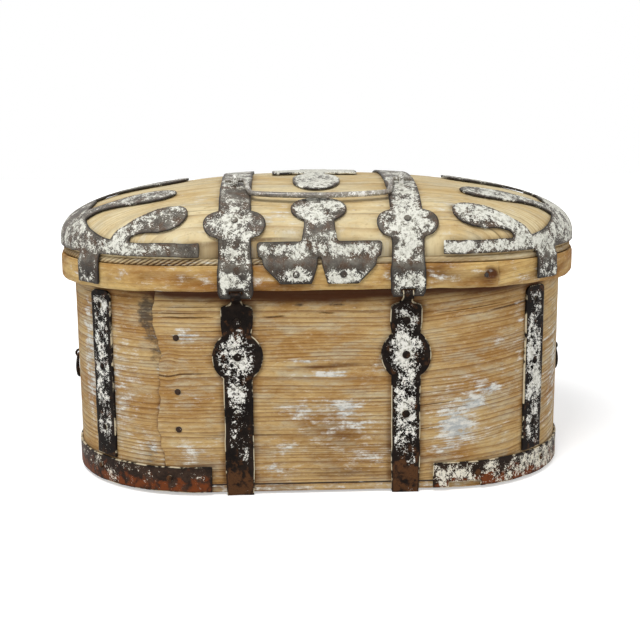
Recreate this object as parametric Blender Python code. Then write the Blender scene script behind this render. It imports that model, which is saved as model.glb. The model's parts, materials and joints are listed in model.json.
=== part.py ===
"""Oval bentwood strongbox of pine with forged iron straps.

Metres, +Z up. The box stands on z = 0, X runs along its length, and the side
with the two strap hinges faces -Y. Each iron is a sheet of points laid on the
wood, and a Solidify modifier gives it the thickness of the bar it was forged
from. Sizes that end in _HALF are measured from an iron's middle line.
"""
import math

import bmesh
import bpy
import numpy as np
from mathutils import Matrix, Vector

# Clearances: between pieces that lie flat on each other, and under the irons
# that are bent over the lid and round the ends.
FIT = 0.0003
LIFT = 0.0005

# Woodwork.
LID_LENGTH = 0.660
LID_DEPTH = 0.372
OVERHANG = 0.016
WALL_T = 0.008
WALL_HEIGHT = 0.2664
BOARD_T = 0.009
RIM_T = 0.009
RIM_HEIGHT = 0.029
EDGE_HEIGHT = 0.018
DOME_RISE = 0.0767
DOME_POWER = 0.42
DOME_INSET = 0.004
HOLLOW_INSET = 0.026
CROWN_T = 0.018

# Scarfed laps of the two bent bands, from the end of the straight side.
LAP_LENGTH = 0.075
LAP_TIP_T = 0.0012
WALL_LAP_BACK = 0.023
RIM_LAP_BACK = 0.015

# Bar iron, and the two straps that cross the lid.
IRON_T = 0.003
STRAP_SPACING = 0.198
STRAP_MIDDLE = -0.002
STRAP_HALF = 0.0185
STRAP_END_HALF = 0.013
STRAP_END_GAP = 0.004
LOBE_R = 0.017
LOBE_INSET = 0.0085

# Hinges: a tongue of the lower strap loops round the bar in the lid strap.
BAR_HALF = 0.00225
TONGUE_HALF = 0.006
TONGUE_T = 0.002
TONGUE_PLAY = 0.0014
LOOP_PLAY = 0.0005
LOOP_ANGLE = 285.0
SLOT_PLAY = 0.0011
RIM_PLAY = 0.0006

# Straps on the straight walls.
PLATE_DROP = 0.0165
PLATE_HALF = 0.0187
BOSS_DROP = 0.0635
BOSS_R = 0.030
BOSS_HEIGHT = 0.061
NECK_HALF = 0.0172
FOOT_HALF = 0.0160
RETURN_LEN = 0.042

# Irons round the ends.
LEFT_CORNER_ANGLE = 45.0
RIGHT_CORNER_ANGLE = 48.0
CORNER_HALF = 0.018
CORNER_GAP = 0.006
BASE_HEIGHT = 0.0315
BASE_RAISE = 0.0012
BASE_GAP = 0.0025
BASE_ARM_GAP = 0.0163
END_IRON_T = 0.0025
END_LIFT = 0.00095
END_BAND_UNDER = 0.0075
ARM_RISE = 0.0085
END_ARM_GAP = 0.022
CRESCENT_RISE = 0.043
CRESCENT_START_ANGLE = 63.0
CRESCENT_FULL_ANGLE = 10.0
TAB_HALF = 0.0195
TAB_GAP = 0.0045
FINGER_ANGLE = 30.0
OUTER_FINGER_GAP = 0.0175
OUTER_FINGER_HALF = 0.0165
OUTER_FINGER_DRIFT = 0.003
SECOND_FINGER_GAP = 0.0355
SECOND_FINGER_HALF = 0.019
SECOND_FINGER_DRIFT = 0.0215
MIDDLE_FINGER_GAP = 0.0285
MIDDLE_FINGER_HALF = 0.025

# T-shaped iron in the middle of the hinge side.
CENTRE_SHIFT = -0.0025
HEAD_HALF = 0.033
HEAD_TOP_INSET = 0.043
HEAD_FOOT_INSET = 0.0085
HEAD_NECK_HALF = 0.0178
STEM_HALF = 0.0222
T_BAR_GAP = 0.0085
T_BAR_RISE = 0.0085
LEAF_INSET = 0.005
LEAF_FOOT_INSET = 0.027
NOTCH_HALF = 0.0017
NOTCH_FOOT_HALF = 0.0090
LEAF_GAP = 0.0075

# Iron over the crown and down the opening side.
CROWN_SHIFT = -0.0025
CROWN_HEAD_GAP = 0.022
CROWN_HEAD_LEN = 0.083
CROWN_HEAD_HALF = 0.0285
CROWN_BAR_LEN = 0.041
CROWN_BAR_HALF = 0.054
CROWN_STRAP_HALF = 0.018

# Bail handle and its two staples.
BAIL_INSET = 0.082
BAIL_RISE = 0.005
BAIL_WIRE = 0.0026
BAIL_ARM = 0.040
BAIL_CLEAR = 0.0095
BAIL_PIN = 0.013
BAIL_SHOULDER = 0.006
BAIL_SPLAY = 0.017
STAPLE_WIRE = 0.002
STAPLE_PLAY = 0.00035

# Rings at the two ends and their eyes.
RING_DROP = 0.110
RING_R = 0.0145
RING_WIRE = 0.0018
RING_STAND = 0.0012
RING_REST = 0.0005
EYE_WIRE = 0.0015
EYE_PLAY = 0.0011

# Nails.
STRAP_NAIL_R = 0.0045
LID_NAIL_R = 0.0042
LAP_NAIL_R = 0.0032
NAIL_CROWN = 0.44
PLATE_NAIL_DROP = 0.0225
STRAP_NAIL_DROP = 0.072
LEAF_NAIL_DROP = 0.010
CROSS_NAIL_UP = 0.0025
WALL_LAP_NAIL_BACK = 0.0235
RIM_LAP_NAIL_BACK = 0.016
LAP_NAIL_HEIGHTS = {"top": 0.181, "middle": 0.116, "low": 0.070}

# Heights above the floor that follow from the sizes.
BOARD_Z0 = IRON_T + FIT
BOARD_Z1 = BOARD_Z0 + BOARD_T
RIM_Z1 = BOARD_Z1 + FIT + WALL_HEIGHT
RIM_Z0 = RIM_Z1 - RIM_HEIGHT
LID_SEAT = RIM_Z1 + FIT
EDGE_Z = RIM_Z1 + EDGE_HEIGHT
CROWN_Z = EDGE_Z + DOME_RISE
PLATE_TOP = RIM_Z0 - PLATE_DROP
BOSS_Z = PLATE_TOP - BOSS_DROP
RING_Z = RIM_Z0 - RING_DROP
BASE_Z0 = BOARD_Z0 + BASE_RAISE
BASE_Z1 = BASE_Z0 + BASE_HEIGHT

# Half lengths and half depths of the rim, the wall and the dome.
HL, HD = LID_LENGTH / 2, LID_DEPTH / 2
WL, WD = HL - OVERHANG, HD - OVERHANG
DL, DD = HL - DOME_INSET, HD - DOME_INSET
END_X = HL - HD
STRAP_X = {"left": STRAP_MIDDLE - STRAP_SPACING / 2, "right": STRAP_MIDDLE + STRAP_SPACING / 2}
CENTRE_X = STRAP_MIDDLE + CENTRE_SHIFT
CROWN_X = STRAP_MIDDLE + CROWN_SHIFT
T_BAR_HALF = STRAP_SPACING / 2 - STRAP_HALF - T_BAR_GAP
LEAF_HALF = T_BAR_HALF - LEAF_INSET
LEAF_FOOT_HALF = T_BAR_HALF - LEAF_FOOT_INSET
LOBE_Y = DD - LOBE_INSET
BAIL_Y = BAIL_INSET - DD
ENDS = {"left": -1, "right": 1}
CORNER = {"left": math.radians(LEFT_CORNER_ANGLE), "right": math.radians(RIGHT_CORNER_ANGLE)}

# Hinge axis, inside the bar of each lid strap.
LOOP_R = math.hypot(BAR_HALF, IRON_T / 2) + LOOP_PLAY
HINGE_Y = -(HD + LIFT + IRON_T / 2)
HINGE_Z = RIM_Z0 - (LOOP_R + TONGUE_T + RIM_PLAY)

# Columns across a strap; the inner two are the sides of the hinge slot.
SLOT_SIDE = (TONGUE_HALF + TONGUE_PLAY) / STRAP_HALF
COLS = (-1.0, -SLOT_SIDE, SLOT_SIDE, 1.0)
# Rows of a rounded outline, from its middle to just short of its ends.
ROUND = [math.sin(math.radians(turn)) for turn in (0, 24, 49, 68, 84)]

PINE = ((0.58, 0.36, 0.15), 0.0, 0.6)
IRON = ((0.09, 0.07, 0.065), 0.85, 0.55)
RUST = ((0.20, 0.09, 0.05), 0.7, 0.7)


# Scene and objects.

def clear_scene():
    for ob in list(bpy.data.objects):
        bpy.data.objects.remove(ob, do_unlink=True)


def material(name, colour, metallic, rough):
    mat = bpy.data.materials.new(name)
    mat.use_nodes = True
    bsdf = mat.node_tree.nodes["Principled BSDF"]
    bsdf.inputs["Base Color"].default_value = (*colour, 1.0)
    bsdf.inputs["Metallic"].default_value = metallic
    bsdf.inputs["Roughness"].default_value = rough
    return mat


def pivot(name, place):
    """Empty on a joint's axis; the pieces that turn there are its children."""
    ob = bpy.data.objects.new(name, None)
    ob.location = Vector(place)
    ob.empty_display_size = 0.02
    bpy.context.scene.collection.objects.link(ob)
    return ob


def add(name, data, look, turns_on=None):
    """One named sub-part with its own material, hung on its joint's empty."""
    data.materials.append(material(name + "_mat", *look))
    ob = bpy.data.objects.new(name, data)
    bpy.context.scene.collection.objects.link(ob)
    if turns_on:
        ob.parent = turns_on
        ob.matrix_parent_inverse = Matrix.Translation(-turns_on.location)
    return ob


def mesh_of(name, verts, faces):
    mesh = bpy.data.meshes.new(name)
    mesh.from_pydata([tuple(v) for v in verts], [], faces)
    bm = bmesh.new()
    bm.from_mesh(mesh)
    bmesh.ops.recalc_face_normals(bm, faces=bm.faces)
    bm.to_mesh(mesh)
    bm.free()
    return mesh


def unit(v):
    v = np.asarray(v, float)
    return v / np.linalg.norm(v)


# Sheets of iron.

def lattice(rows, skip=()):
    """Quads between rows of equal length."""
    w = len(rows[0])
    return [(i * w + j, i * w + j + 1, (i + 1) * w + j + 1, (i + 1) * w + j)
            for i in range(len(rows) - 1) for j in range(w - 1) if (i, j) not in skip]


def sheet(name, points, normals, faces, look, gap, thick, turns_on, share=None):
    """Plate that lies a gap above a surface; share thins it point by point."""
    points, normals = np.asarray(points, float), np.asarray(normals, float)
    used = sorted({i for f in faces for i in f})
    at = {i: k for k, i in enumerate(used)}
    verts = points[used] + normals[used] * gap
    faces = [[at[i] for i in f] for f in faces]
    a, b, c = (verts[[f[k] for f in faces]] for k in range(3))
    outward = np.einsum("ij,ij->i", np.cross(b - a, c - a), normals[used][[f[0] for f in faces]])
    if outward.sum() < 0:
        faces = [f[::-1] for f in faces]
    mesh = bpy.data.meshes.new(name)
    mesh.from_pydata([tuple(v) for v in verts], [], faces)
    ob = add(name, mesh, look, turns_on)
    solid = ob.modifiers.new("forged thickness", "SOLIDIFY")
    solid.thickness = thick
    solid.offset = 1.0
    solid.use_even_offset = True
    solid.use_quality_normals = True
    if share is not None:
        group = ob.vertex_groups.new(name="thickness")
        for i, k in at.items():
            group.add([k], share[i], "REPLACE")
        solid.vertex_group = group.name
    return ob


def plate(name, rows, look, gap, turns_on=None, thick=IRON_T, skip=()):
    """Plate from rows of (point, normal) or (point, normal, share of thickness)."""
    cells = [c for r in rows for c in r]
    share = [c[2] if len(c) > 2 else 1.0 for c in cells]
    thinned = share if min(share) < 1.0 else None
    return sheet(name, [c[0] for c in cells], [c[1] for c in cells], lattice(rows, skip), look,
                 gap, thick, turns_on, thinned)


def flat_row(xc, half, cols, y, z, normal):
    return [((xc + half * c, y, z), unit(normal)) for c in cols]


def dome_row(xc, half, cols, y):
    return [on_dome(xc + half * c, y) for c in cols]


# Wires and nails.

def wire(name, path, radius, look, turns_on=None, closed=False):
    """Round bar bent along a path."""
    curve = bpy.data.curves.new(name, "CURVE")
    curve.dimensions = "3D"
    curve.bevel_depth = radius
    curve.bevel_resolution = 2
    curve.use_fill_caps = True
    line = curve.splines.new("POLY")
    line.points.add(len(path) - 1)
    for point, place in zip(line.points, path):
        point.co = (*place, 1.0)
    line.use_cyclic_u = closed
    return add(name, curve, look, turns_on)


def nail(name, foot, axis, radius, turns_on=None, sides=8):
    """Round nail head with a low crown, standing on its foot along an axis."""
    height = radius * NAIL_CROWN
    profile = ((0, 0), (radius, 0), (radius * 0.92, height * 0.45), (radius * 0.55, height), (0, height))
    bm = bmesh.new()
    verts = [bm.verts.new((r, 0, h)) for r, h in profile]
    edges = [bm.edges.new(pair) for pair in zip(verts, verts[1:])]
    bmesh.ops.spin(bm, geom=verts + edges, cent=(0, 0, 0), axis=(0, 0, 1), angle=2 * math.pi,
                   steps=sides, use_merge=True)
    bmesh.ops.remove_doubles(bm, verts=bm.verts, dist=1e-6)
    bmesh.ops.recalc_face_normals(bm, faces=bm.faces)
    mesh = bpy.data.meshes.new(name)
    bm.to_mesh(mesh)
    bm.free()
    ob = add(name, mesh, IRON, turns_on)
    ob.location = Vector(foot)
    ob.rotation_mode = "QUATERNION"
    ob.rotation_quaternion = Vector((0, 0, 1)).rotation_difference(Vector(axis))
    return ob


# The oval plan and the dome.

def gauge(x, y, hl, hd):
    """How far out a point lies on its ray to an oval: 0 centre, 1 edge."""
    x, y = abs(x), abs(y)
    c = hl - hd
    if x < 1e-12 and y < 1e-12:
        return 0.0
    if x * hd <= c * y:
        return y / hd
    rr = x * x + y * y
    root = math.sqrt(max(x * x * c * c - rr * (c * c - hd * hd), 0.0))
    return rr / (x * c + root)


def oval(hl, hd, arc=30):
    """Closed outline, counter-clockwise from the front of the +X end."""
    c = hl - hd
    t = [-math.pi / 2 + math.pi * i / arc for i in range(arc + 1)]
    return ([(c + hd * math.cos(a), hd * math.sin(a)) for a in t]
            + [(-c - hd * math.cos(a), -hd * math.sin(a)) for a in t])


def oval_at(s, hl, hd, off):
    """Point at a distance s along the outline from the middle of the front,
    towards +X, moved inward by off."""
    c = hl - hd
    arc = math.pi * hd
    s = s % (4 * c + 2 * arc)
    r = hd - off
    if s <= c:
        return s, -r
    if s <= c + arc:
        a = (s - c) / hd
        return c + r * math.sin(a), -r * math.cos(a)
    if s <= 3 * c + arc:
        return c - (s - c - arc), r
    if s <= 3 * c + 2 * arc:
        a = (s - 3 * c - arc) / hd
        return -c - r * math.sin(a), r * math.cos(a)
    return -c + (s - 3 * c - 2 * arc), -r


def dome_z(x, y):
    q = min(gauge(x, y, DL, DD), 1.0)
    return EDGE_Z + DOME_RISE * (1 - q * q) ** DOME_POWER


def on_dome(x, y):
    """Point and outward normal of the dome above a plan position."""
    h = 1e-5
    z = dome_z(x, y)
    rel = max((z - EDGE_Z) / DOME_RISE, 0.0)
    gx = (gauge(x + h, y, DL, DD) ** 2 - gauge(x - h, y, DL, DD) ** 2) / (2 * h)
    gy = (gauge(x, y + h, DL, DD) ** 2 - gauge(x, y - h, DL, DD) ** 2) / (2 * h)
    gz = rel ** (1 / DOME_POWER - 1) / (DOME_POWER * DOME_RISE)
    return np.array([x, y, z]), unit([gx, gy, gz])


def reach(x, steps=400):
    """Arc length along the dome across the depth, and the plan depth there."""
    ys = np.array([DD * math.sin(math.pi / 2 * i / steps) for i in range(steps + 1)])
    zs = np.array([dome_z(x, y) for y in ys])
    s = np.concatenate([[0.0], np.cumsum(np.hypot(np.diff(ys), np.diff(zs)))])
    return s, ys, zs


def over_rim(side, lows):
    """Rows from the foot of the dome over the rim: (y, z, normal)."""
    rows = [(side * DD, EDGE_Z - EDGE_HEIGHT / 2, (0, side, 0.15)),
            (side * HD, RIM_Z1, (0, side, 0.6)),
            (side * HD, RIM_Z1 - RIM_HEIGHT / 6, (0, side, 0))]
    return rows + [(side * HD, z, (0, side, 0)) for z in lows]


def on_iron(xc, y):
    """Foot of something that sits on a lid iron, and its axis."""
    p, n = on_dome(xc, y)
    return p + n * (LIFT + IRON_T + FIT), n


# Woodwork.

def board(name, outline, z0, z1):
    bm = bmesh.new()
    base = bm.faces.new([bm.verts.new((x, y, z0)) for x, y in outline])
    raised = bmesh.ops.extrude_face_region(bm, geom=[base])["geom"]
    corners = [g for g in raised if isinstance(g, bmesh.types.BMVert)]
    bmesh.ops.translate(bm, vec=(0, 0, z1 - z0), verts=corners)
    bmesh.ops.recalc_face_normals(bm, faces=bm.faces)
    mesh = bpy.data.meshes.new(name)
    bm.to_mesh(mesh)
    bm.free()
    return add(name, mesh, PINE)


def bent_band(name, hl, hd, t, z0, z1, start, mirror, turns_on=None):
    """Bent strip whose two ends lie over each other in a long scarf. The
    inner end is at start, measured along the outline from the middle of the
    front, and the outer end stops a lap further on."""
    tip = start + LAP_LENGTH
    c = hl - hd
    arc = math.pi * hd
    around = 4 * c + 2 * arc
    end = tip + around - FIT
    marks = [start, tip - FIT, tip, tip + FIT, around + start - 2 * FIT, around + start - FIT, end]
    for turn in (0.0, around):
        marks += [turn + start + LAP_LENGTH * k / 4 for k in (1, 2, 3)]
        for k in range(37):
            marks += [turn + c + arc * k / 36, turn + 3 * c + arc + arc * k / 36]
    stations = []
    for m in sorted(m for m in marks if start <= m <= end):
        # near coincident stations are left out, so that no sliver is made
        if not stations or m - stations[-1] > 0.8 * FIT:
            stations.append(m)

    def layer(s):
        """Thickness of the outer end over the inner one."""
        k = min(max((s - start) / LAP_LENGTH, 0.0), 1.0)
        return (t - LAP_TIP_T) + (2 * LAP_TIP_T - t) * k

    verts = []
    for s in stations:
        outer = layer(s) + FIT if s < tip + FIT / 2 else 0.0
        inner = layer(s - around) if s > start + around - 1.5 * FIT else t
        for off, z in ((outer, z0), (outer, z1), (inner, z1), (inner, z0)):
            x, y = oval_at(s, hl, hd, off)
            verts.append((-x if mirror else x, y, z))
    last = 4 * (len(stations) - 1)
    faces = [(3, 2, 1, 0), (last, last + 1, last + 2, last + 3)]
    for i in range(0, last, 4):
        for k in range(4):
            a, b = i + k, i + (k + 1) % 4
            faces.append((a, b, b + 4, a + 4))
    return add(name, mesh_of(name, verts, faces), PINE, turns_on)


def lid_top(name, turns_on, top_rings=16, hollow_rings=7):
    """Domed board, hollowed out below."""
    outer, inner = oval(DL, DD), oval(HL - HOLLOW_INSET, HD - HOLLOW_INSET)
    roof = CROWN_Z - CROWN_T - LID_SEAT
    rings = []
    for i in range(1, top_rings + 1):
        q = math.sin(math.pi / 2 * i / top_rings)
        z = EDGE_Z + DOME_RISE * max(1 - q * q, 0.0) ** DOME_POWER
        rings.append([(x * q, y * q, z) for x, y in outer])
    rings.append([(x, y, LID_SEAT) for x, y in outer])
    for i in range(hollow_rings, 0, -1):
        q = math.sin(math.pi / 2 * i / hollow_rings)
        z = LID_SEAT + roof * max(1 - q * q, 0.0) ** DOME_POWER
        rings.append([(x * q, y * q, z) for x, y in inner])
    n = len(outer)
    verts = [p for ring in rings for p in ring] + [(0, 0, CROWN_Z), (0, 0, LID_SEAT + roof)]
    top, low = len(verts) - 2, len(verts) - 1
    lowest = (len(rings) - 1) * n
    faces = []
    for j in range(n):
        k = (j + 1) % n
        faces += [(top, j, k), (low, lowest + k, lowest + j)]
        faces += [(r * n + j, (r + 1) * n + j, (r + 1) * n + k, r * n + k) for r in range(len(rings) - 1)]
    return add(name, mesh_of(name, verts, faces), PINE, turns_on)


# Irons of the lid.

def far_end(xc, half):
    """Rows of a strap's plain end, from its tip up over the rim."""
    tip = RIM_Z0 + STRAP_END_GAP
    rows = over_rim(1, (tip + 2 * STRAP_END_GAP, tip + STRAP_END_GAP / 2, tip))
    halves = [half] * (len(rows) - 2) + [0.8 * half + 0.2 * STRAP_END_HALF, STRAP_END_HALF]
    return [flat_row(xc, w, COLS, *row) for row, w in zip(reversed(rows), reversed(halves))]


def lid_strap(name, xc, turns_on):
    """Strap over the lid with a pair of round lobes low on either side. Its
    hinge end is pierced, and the bar left below the hole is the hinge pin."""
    s, ys, _ = reach(xc)
    lobe = float(np.interp(LOBE_Y, ys, s))
    stations = list(np.arange(0.0, lobe - 1.2 * LOBE_R, 0.7 * LOBE_R))
    stations += [lobe + LOBE_R * k for k in (-1.0, -0.92, -0.7, -0.38, 0.0, 0.38, 0.7, 0.92, 1.0)]
    stations = [k for k in stations if k < s[-1] - 0.1 * LOBE_R] + [s[-1]]

    def row(k, side):
        d = min(abs(k - lobe) / LOBE_R, 1.0)
        half = STRAP_HALF + LOBE_R * math.sqrt(1 - d * d)
        return dome_row(xc, half, COLS, side * float(np.interp(k, s, ys)))

    rows = far_end(xc, STRAP_HALF)
    rows += [row(k, 1) for k in reversed(stations)]
    rows += [row(k, -1) for k in stations[1:]]
    slot_top = HINGE_Z + LOOP_R + TONGUE_T + SLOT_PLAY
    head = over_rim(-1, (slot_top, HINGE_Z + BAR_HALF, HINGE_Z - BAR_HALF))
    hole = len(rows) + len(head) - 3
    rows += [flat_row(xc, STRAP_HALF, COLS, *at) for at in head]
    return plate(name, rows, IRON, LIFT, turns_on, skip={(hole, 1)})


def centre_iron(name, turns_on):
    """Round head, flared stem and T bar, ending in two leaves over the rim."""
    s, ys, zs = reach(0.0)

    def columns(half, notch):
        return (-1.0, -0.7, -0.36, -notch / half, notch / half, 0.36, 0.7, 1.0)

    def on_stem(k, half):
        return dome_row(CENTRE_X, half, columns(T_BAR_HALF, NOTCH_HALF), -float(np.interp(k, s, ys)))

    top, foot = (float(np.interp(DD - inset, ys, s)) for inset in (HEAD_TOP_INSET, HEAD_FOOT_INSET))
    mid, half = (top + foot) / 2, (foot - top) / 2
    rows = []
    for d in [-k for k in ROUND[::-1]] + [0.4, 0.66]:
        rows.append(on_stem(mid + half * d, HEAD_HALF * math.sqrt(1 - d * d)))
    bar_y = float(np.interp(EDGE_Z + T_BAR_RISE, zs[::-1], ys[::-1]))
    bar = float(np.interp(bar_y, ys, s))
    for k in (0.0, 0.33, 0.67, 1.0):
        flare = HEAD_NECK_HALF + (STEM_HALF - HEAD_NECK_HALF) * k
        rows.append(on_stem(foot + (bar - 2 * FIT - foot) * k, flare))
    rows += [on_stem(k, T_BAR_HALF) for k in (bar, s[-1])]
    leaf = len(rows) + 1
    for at, k in zip(over_rim(-1, (RIM_Z0 + LEAF_GAP,)), (0.0, 0.1, 0.3, 1.0)):
        half = LEAF_HALF + (LEAF_FOOT_HALF - LEAF_HALF) * k
        notch = NOTCH_HALF + (NOTCH_FOOT_HALF - NOTCH_HALF) * k
        rows.append(flat_row(CENTRE_X, half, columns(half, notch), *at))
    return plate(name, rows, IRON, LIFT, turns_on, skip={(leaf, 3), (leaf + 1, 3)})


def crown_iron(name, turns_on):
    """Oval head and T bar over the crown, then a strap down the far side."""
    head_y = CROWN_HEAD_GAP + HEAD_TOP_INSET - DD
    mid, half = head_y + CROWN_HEAD_LEN / 2, CROWN_HEAD_LEN / 2
    rows = []
    for d in [-k for k in reversed(ROUND)] + [0.4, 0.75, 0.88]:
        rows.append(dome_row(CROWN_X, CROWN_HEAD_HALF * math.sqrt(1 - d * d), COLS, mid + half * d))
    bar_y = head_y + CROWN_HEAD_LEN + LIFT
    for k in (0.0, 0.15, 0.45, 0.7, 0.85, 1.0):
        square = CROWN_BAR_HALF * (1 - 0.03 * (k in (0.0, 1.0)))
        rows.append(dome_row(CROWN_X, square, COLS, bar_y + CROWN_BAR_LEN * k))
    s, ys, _ = reach(0.0)
    strap = float(np.interp(bar_y + CROWN_BAR_LEN + 2 * FIT, ys, s))
    for k in np.linspace(strap, s[-1], 20):
        rows.append(dome_row(CROWN_X, CROWN_STRAP_HALF, COLS, float(np.interp(k, s, ys))))
    rows += reversed(far_end(CROWN_X, CROWN_STRAP_HALF))
    return plate(name, rows, IRON, LIFT, turns_on)


def finger_share(t):
    """Half width along a leaf finger, from its root to its tip."""
    return float(np.interp(t, (0, 0.15, 0.35, 0.55, 0.72, 0.88, 0.96, 1),
                           (0.8, 0.56, 0.7, 0.95, 1, 0.75, 0.42, 0.1)))


def crescent_rise(angle):
    """Height of the end band above the dome's edge, greatest at the end."""
    t = (CRESCENT_START_ANGLE - abs(math.degrees(angle))) / (CRESCENT_START_ANGLE - CRESCENT_FULL_ANGLE)
    t = min(max(t, 0.0), 1.0)
    return ARM_RISE + (CRESCENT_RISE - ARM_RISE) * t * t * (3 - 2 * t)


def end_iron(name, end, turns_on, band_rows=5, finger_rows=9, steps=300):
    """Crescent round one end of the dome with five leaf fingers and two tabs."""
    sx, corner = ENDS[end], CORNER[end]
    points, normals, faces = [], [], []

    def put(point, normal):
        points.append(np.asarray(point, float))
        normals.append(unit(normal))
        return len(points) - 1

    def strip(before, after):
        faces.extend((before[e], before[e + 1], after[e + 1], after[e]) for e in range(len(before) - 1))

    # Columns of the crescent: a regular fan, with exact ones for the tabs, and
    # the two arms reach on along the straight sides towards the lid strap.
    tab = TAB_HALF / HD
    fan = math.radians(FINGER_ANGLE)
    step = fan / 6
    exact = [side * corner + e for side in (-1, 1) for e in (-tab, 0, tab)]
    regular = [step * i for i in range(-round(math.pi / 2 / step), round(math.pi / 2 / step) + 1)]
    angles = sorted(exact + [a for a in regular if min(abs(a - e) for e in exact) > 0.4 * step])
    arm = abs(STRAP_X[end]) + STRAP_HALF + END_ARM_GAP
    edge = [(a, *oval_at(END_X + DD * (a + math.pi / 2), DL, DD, 0)) for a in angles]
    edge = [(a, x, y) for a, x, y in edge if x > arm]
    edge.insert(0, (edge[0][0], *oval_at(arm, DL, DD, 0)))
    edge.append((edge[-1][0], edge[0][1], -edge[0][2]))
    edge = [(a, sx * x, y) for a, x, y in edge]
    band = [[put((x, y, EDGE_Z - END_BAND_UNDER), (sx * math.cos(a), math.sin(a), 0)) for a, x, y in edge]]
    for i in range(band_rows + 1):
        row = []
        for a, x, y in edge:
            top = math.asin(math.sqrt(1 - (crescent_rise(a) / DOME_RISE) ** (1 / DOME_POWER)))
            q = math.sin(math.pi / 2 + (top - math.pi / 2) * i / band_rows)
            row.append(put(*on_dome(x * q, y * q)))
        band.append(row)
    for low, high in zip(band, band[1:]):
        strip(low, high)

    # Fingers grow from the upper edge and run along the length of the box.
    lobe = abs(STRAP_X[end]) + STRAP_HALF + LOBE_R
    fingers = [(0, MIDDLE_FINGER_GAP, 0.0, MIDDLE_FINGER_HALF)]
    for side in (-1, 1):
        fingers.append((side, SECOND_FINGER_GAP, side * SECOND_FINGER_DRIFT, SECOND_FINGER_HALF))
        fingers.append((2 * side, OUTER_FINGER_GAP, side * OUTER_FINGER_DRIFT, OUTER_FINGER_HALF))
    for turn, gap, drift, half in fingers:
        j = int(np.argmin([abs(a - turn * fan) for a, _, _ in edge]))
        before = band[-1][j - 1:j + 2]
        root = points[before[1]][:2]
        tip = np.array([sx * (lobe + gap), root[1] + drift])
        way = [root + (tip - root) * i / steps for i in range(steps + 1)]
        line = np.array([on_dome(*p)[0] for p in way])
        arc = np.concatenate([[0.0], np.cumsum(np.linalg.norm(np.diff(line, axis=0), axis=1))])
        for i in range(1, finger_rows + 1):
            k = int(np.argmin(abs(arc / arc[-1] - (i / finger_rows) ** 0.9)))
            ahead = line[min(k + 1, steps)] - line[max(k - 1, 0)]
            across = unit(np.cross(on_dome(*way[k])[1], ahead)) * half * finger_share(arc[k] / arc[-1])
            after = [put(*on_dome(*(way[k] + across[:2] * e))) for e in (-1, 0, 1)]
            near, far = (np.linalg.norm(points[after[e]] - points[before[0]]) for e in (0, 2))
            after = after if near < far else after[::-1]
            strip(before, after)
            before = after

    # Tabs hang from the lower edge over the rim.
    for side in (-1, 1):
        cols = [i for i, (a, _, _) in enumerate(edge) if abs(a - side * corner) < tab + 1e-6]
        before = [band[0][i] for i in cols]
        for z, tilt in ((RIM_Z1, 0.6), (RIM_Z1 - RIM_HEIGHT / 6, 0.0), (RIM_Z0 + TAB_GAP, 0.0)):
            after = []
            for i in cols:
                point, normal = round_end(edge[i][0], sx, z, HD)
                after.append(put(point, normal + np.array([0, 0, tilt])))
            strip(after, before)
            before = after
    return sheet(name, points, normals, faces, IRON, END_LIFT, END_IRON_T, turns_on)


# Irons of the box.

def round_end(angle, sx, z, radius):
    """Point and normal on the round end of the plan."""
    out = np.array([sx * math.cos(angle), math.sin(angle), 0.0])
    return np.array([sx * END_X, 0.0, z]) + out * radius, out


def tongue_rows(xc, plate_row_z):
    """Loop round the lid strap's bar, and the root that runs down to the wall."""
    rows = []
    steps = 14
    across = [np.array([TONGUE_HALF * c, 0, 0]) for c in (-1, -0.4, 0.4, 1)]
    for i in range(steps, -1, -1):
        a = math.radians(LOOP_ANGLE) * i / steps
        n = np.array([0.0, -math.sin(a), -math.cos(a)])
        p = np.array([xc, HINGE_Y, HINGE_Z]) + n * (LOOP_R - FIT)
        rows.append([(p + x, n, TONGUE_T / IRON_T) for x in across])
    start = np.array([HINGE_Y, HINGE_Z - (LOOP_R - FIT)])
    run = np.array([-WD, plate_row_z]) - start
    for u, v, n in ((0.36, 0.21, (0, -0.42, -0.91)), (0.69, 0.50, (0, -0.5, -0.87)),
                    (0.90, 0.71, (0, -0.72, -0.69)), (0.99, 0.88, (0, -0.95, -0.3))):
        y, z = start + run * (u, v)
        rows.append([(np.array([xc, y, z]) + x, unit(n), 0.8) for x in across])
    return rows


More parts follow.
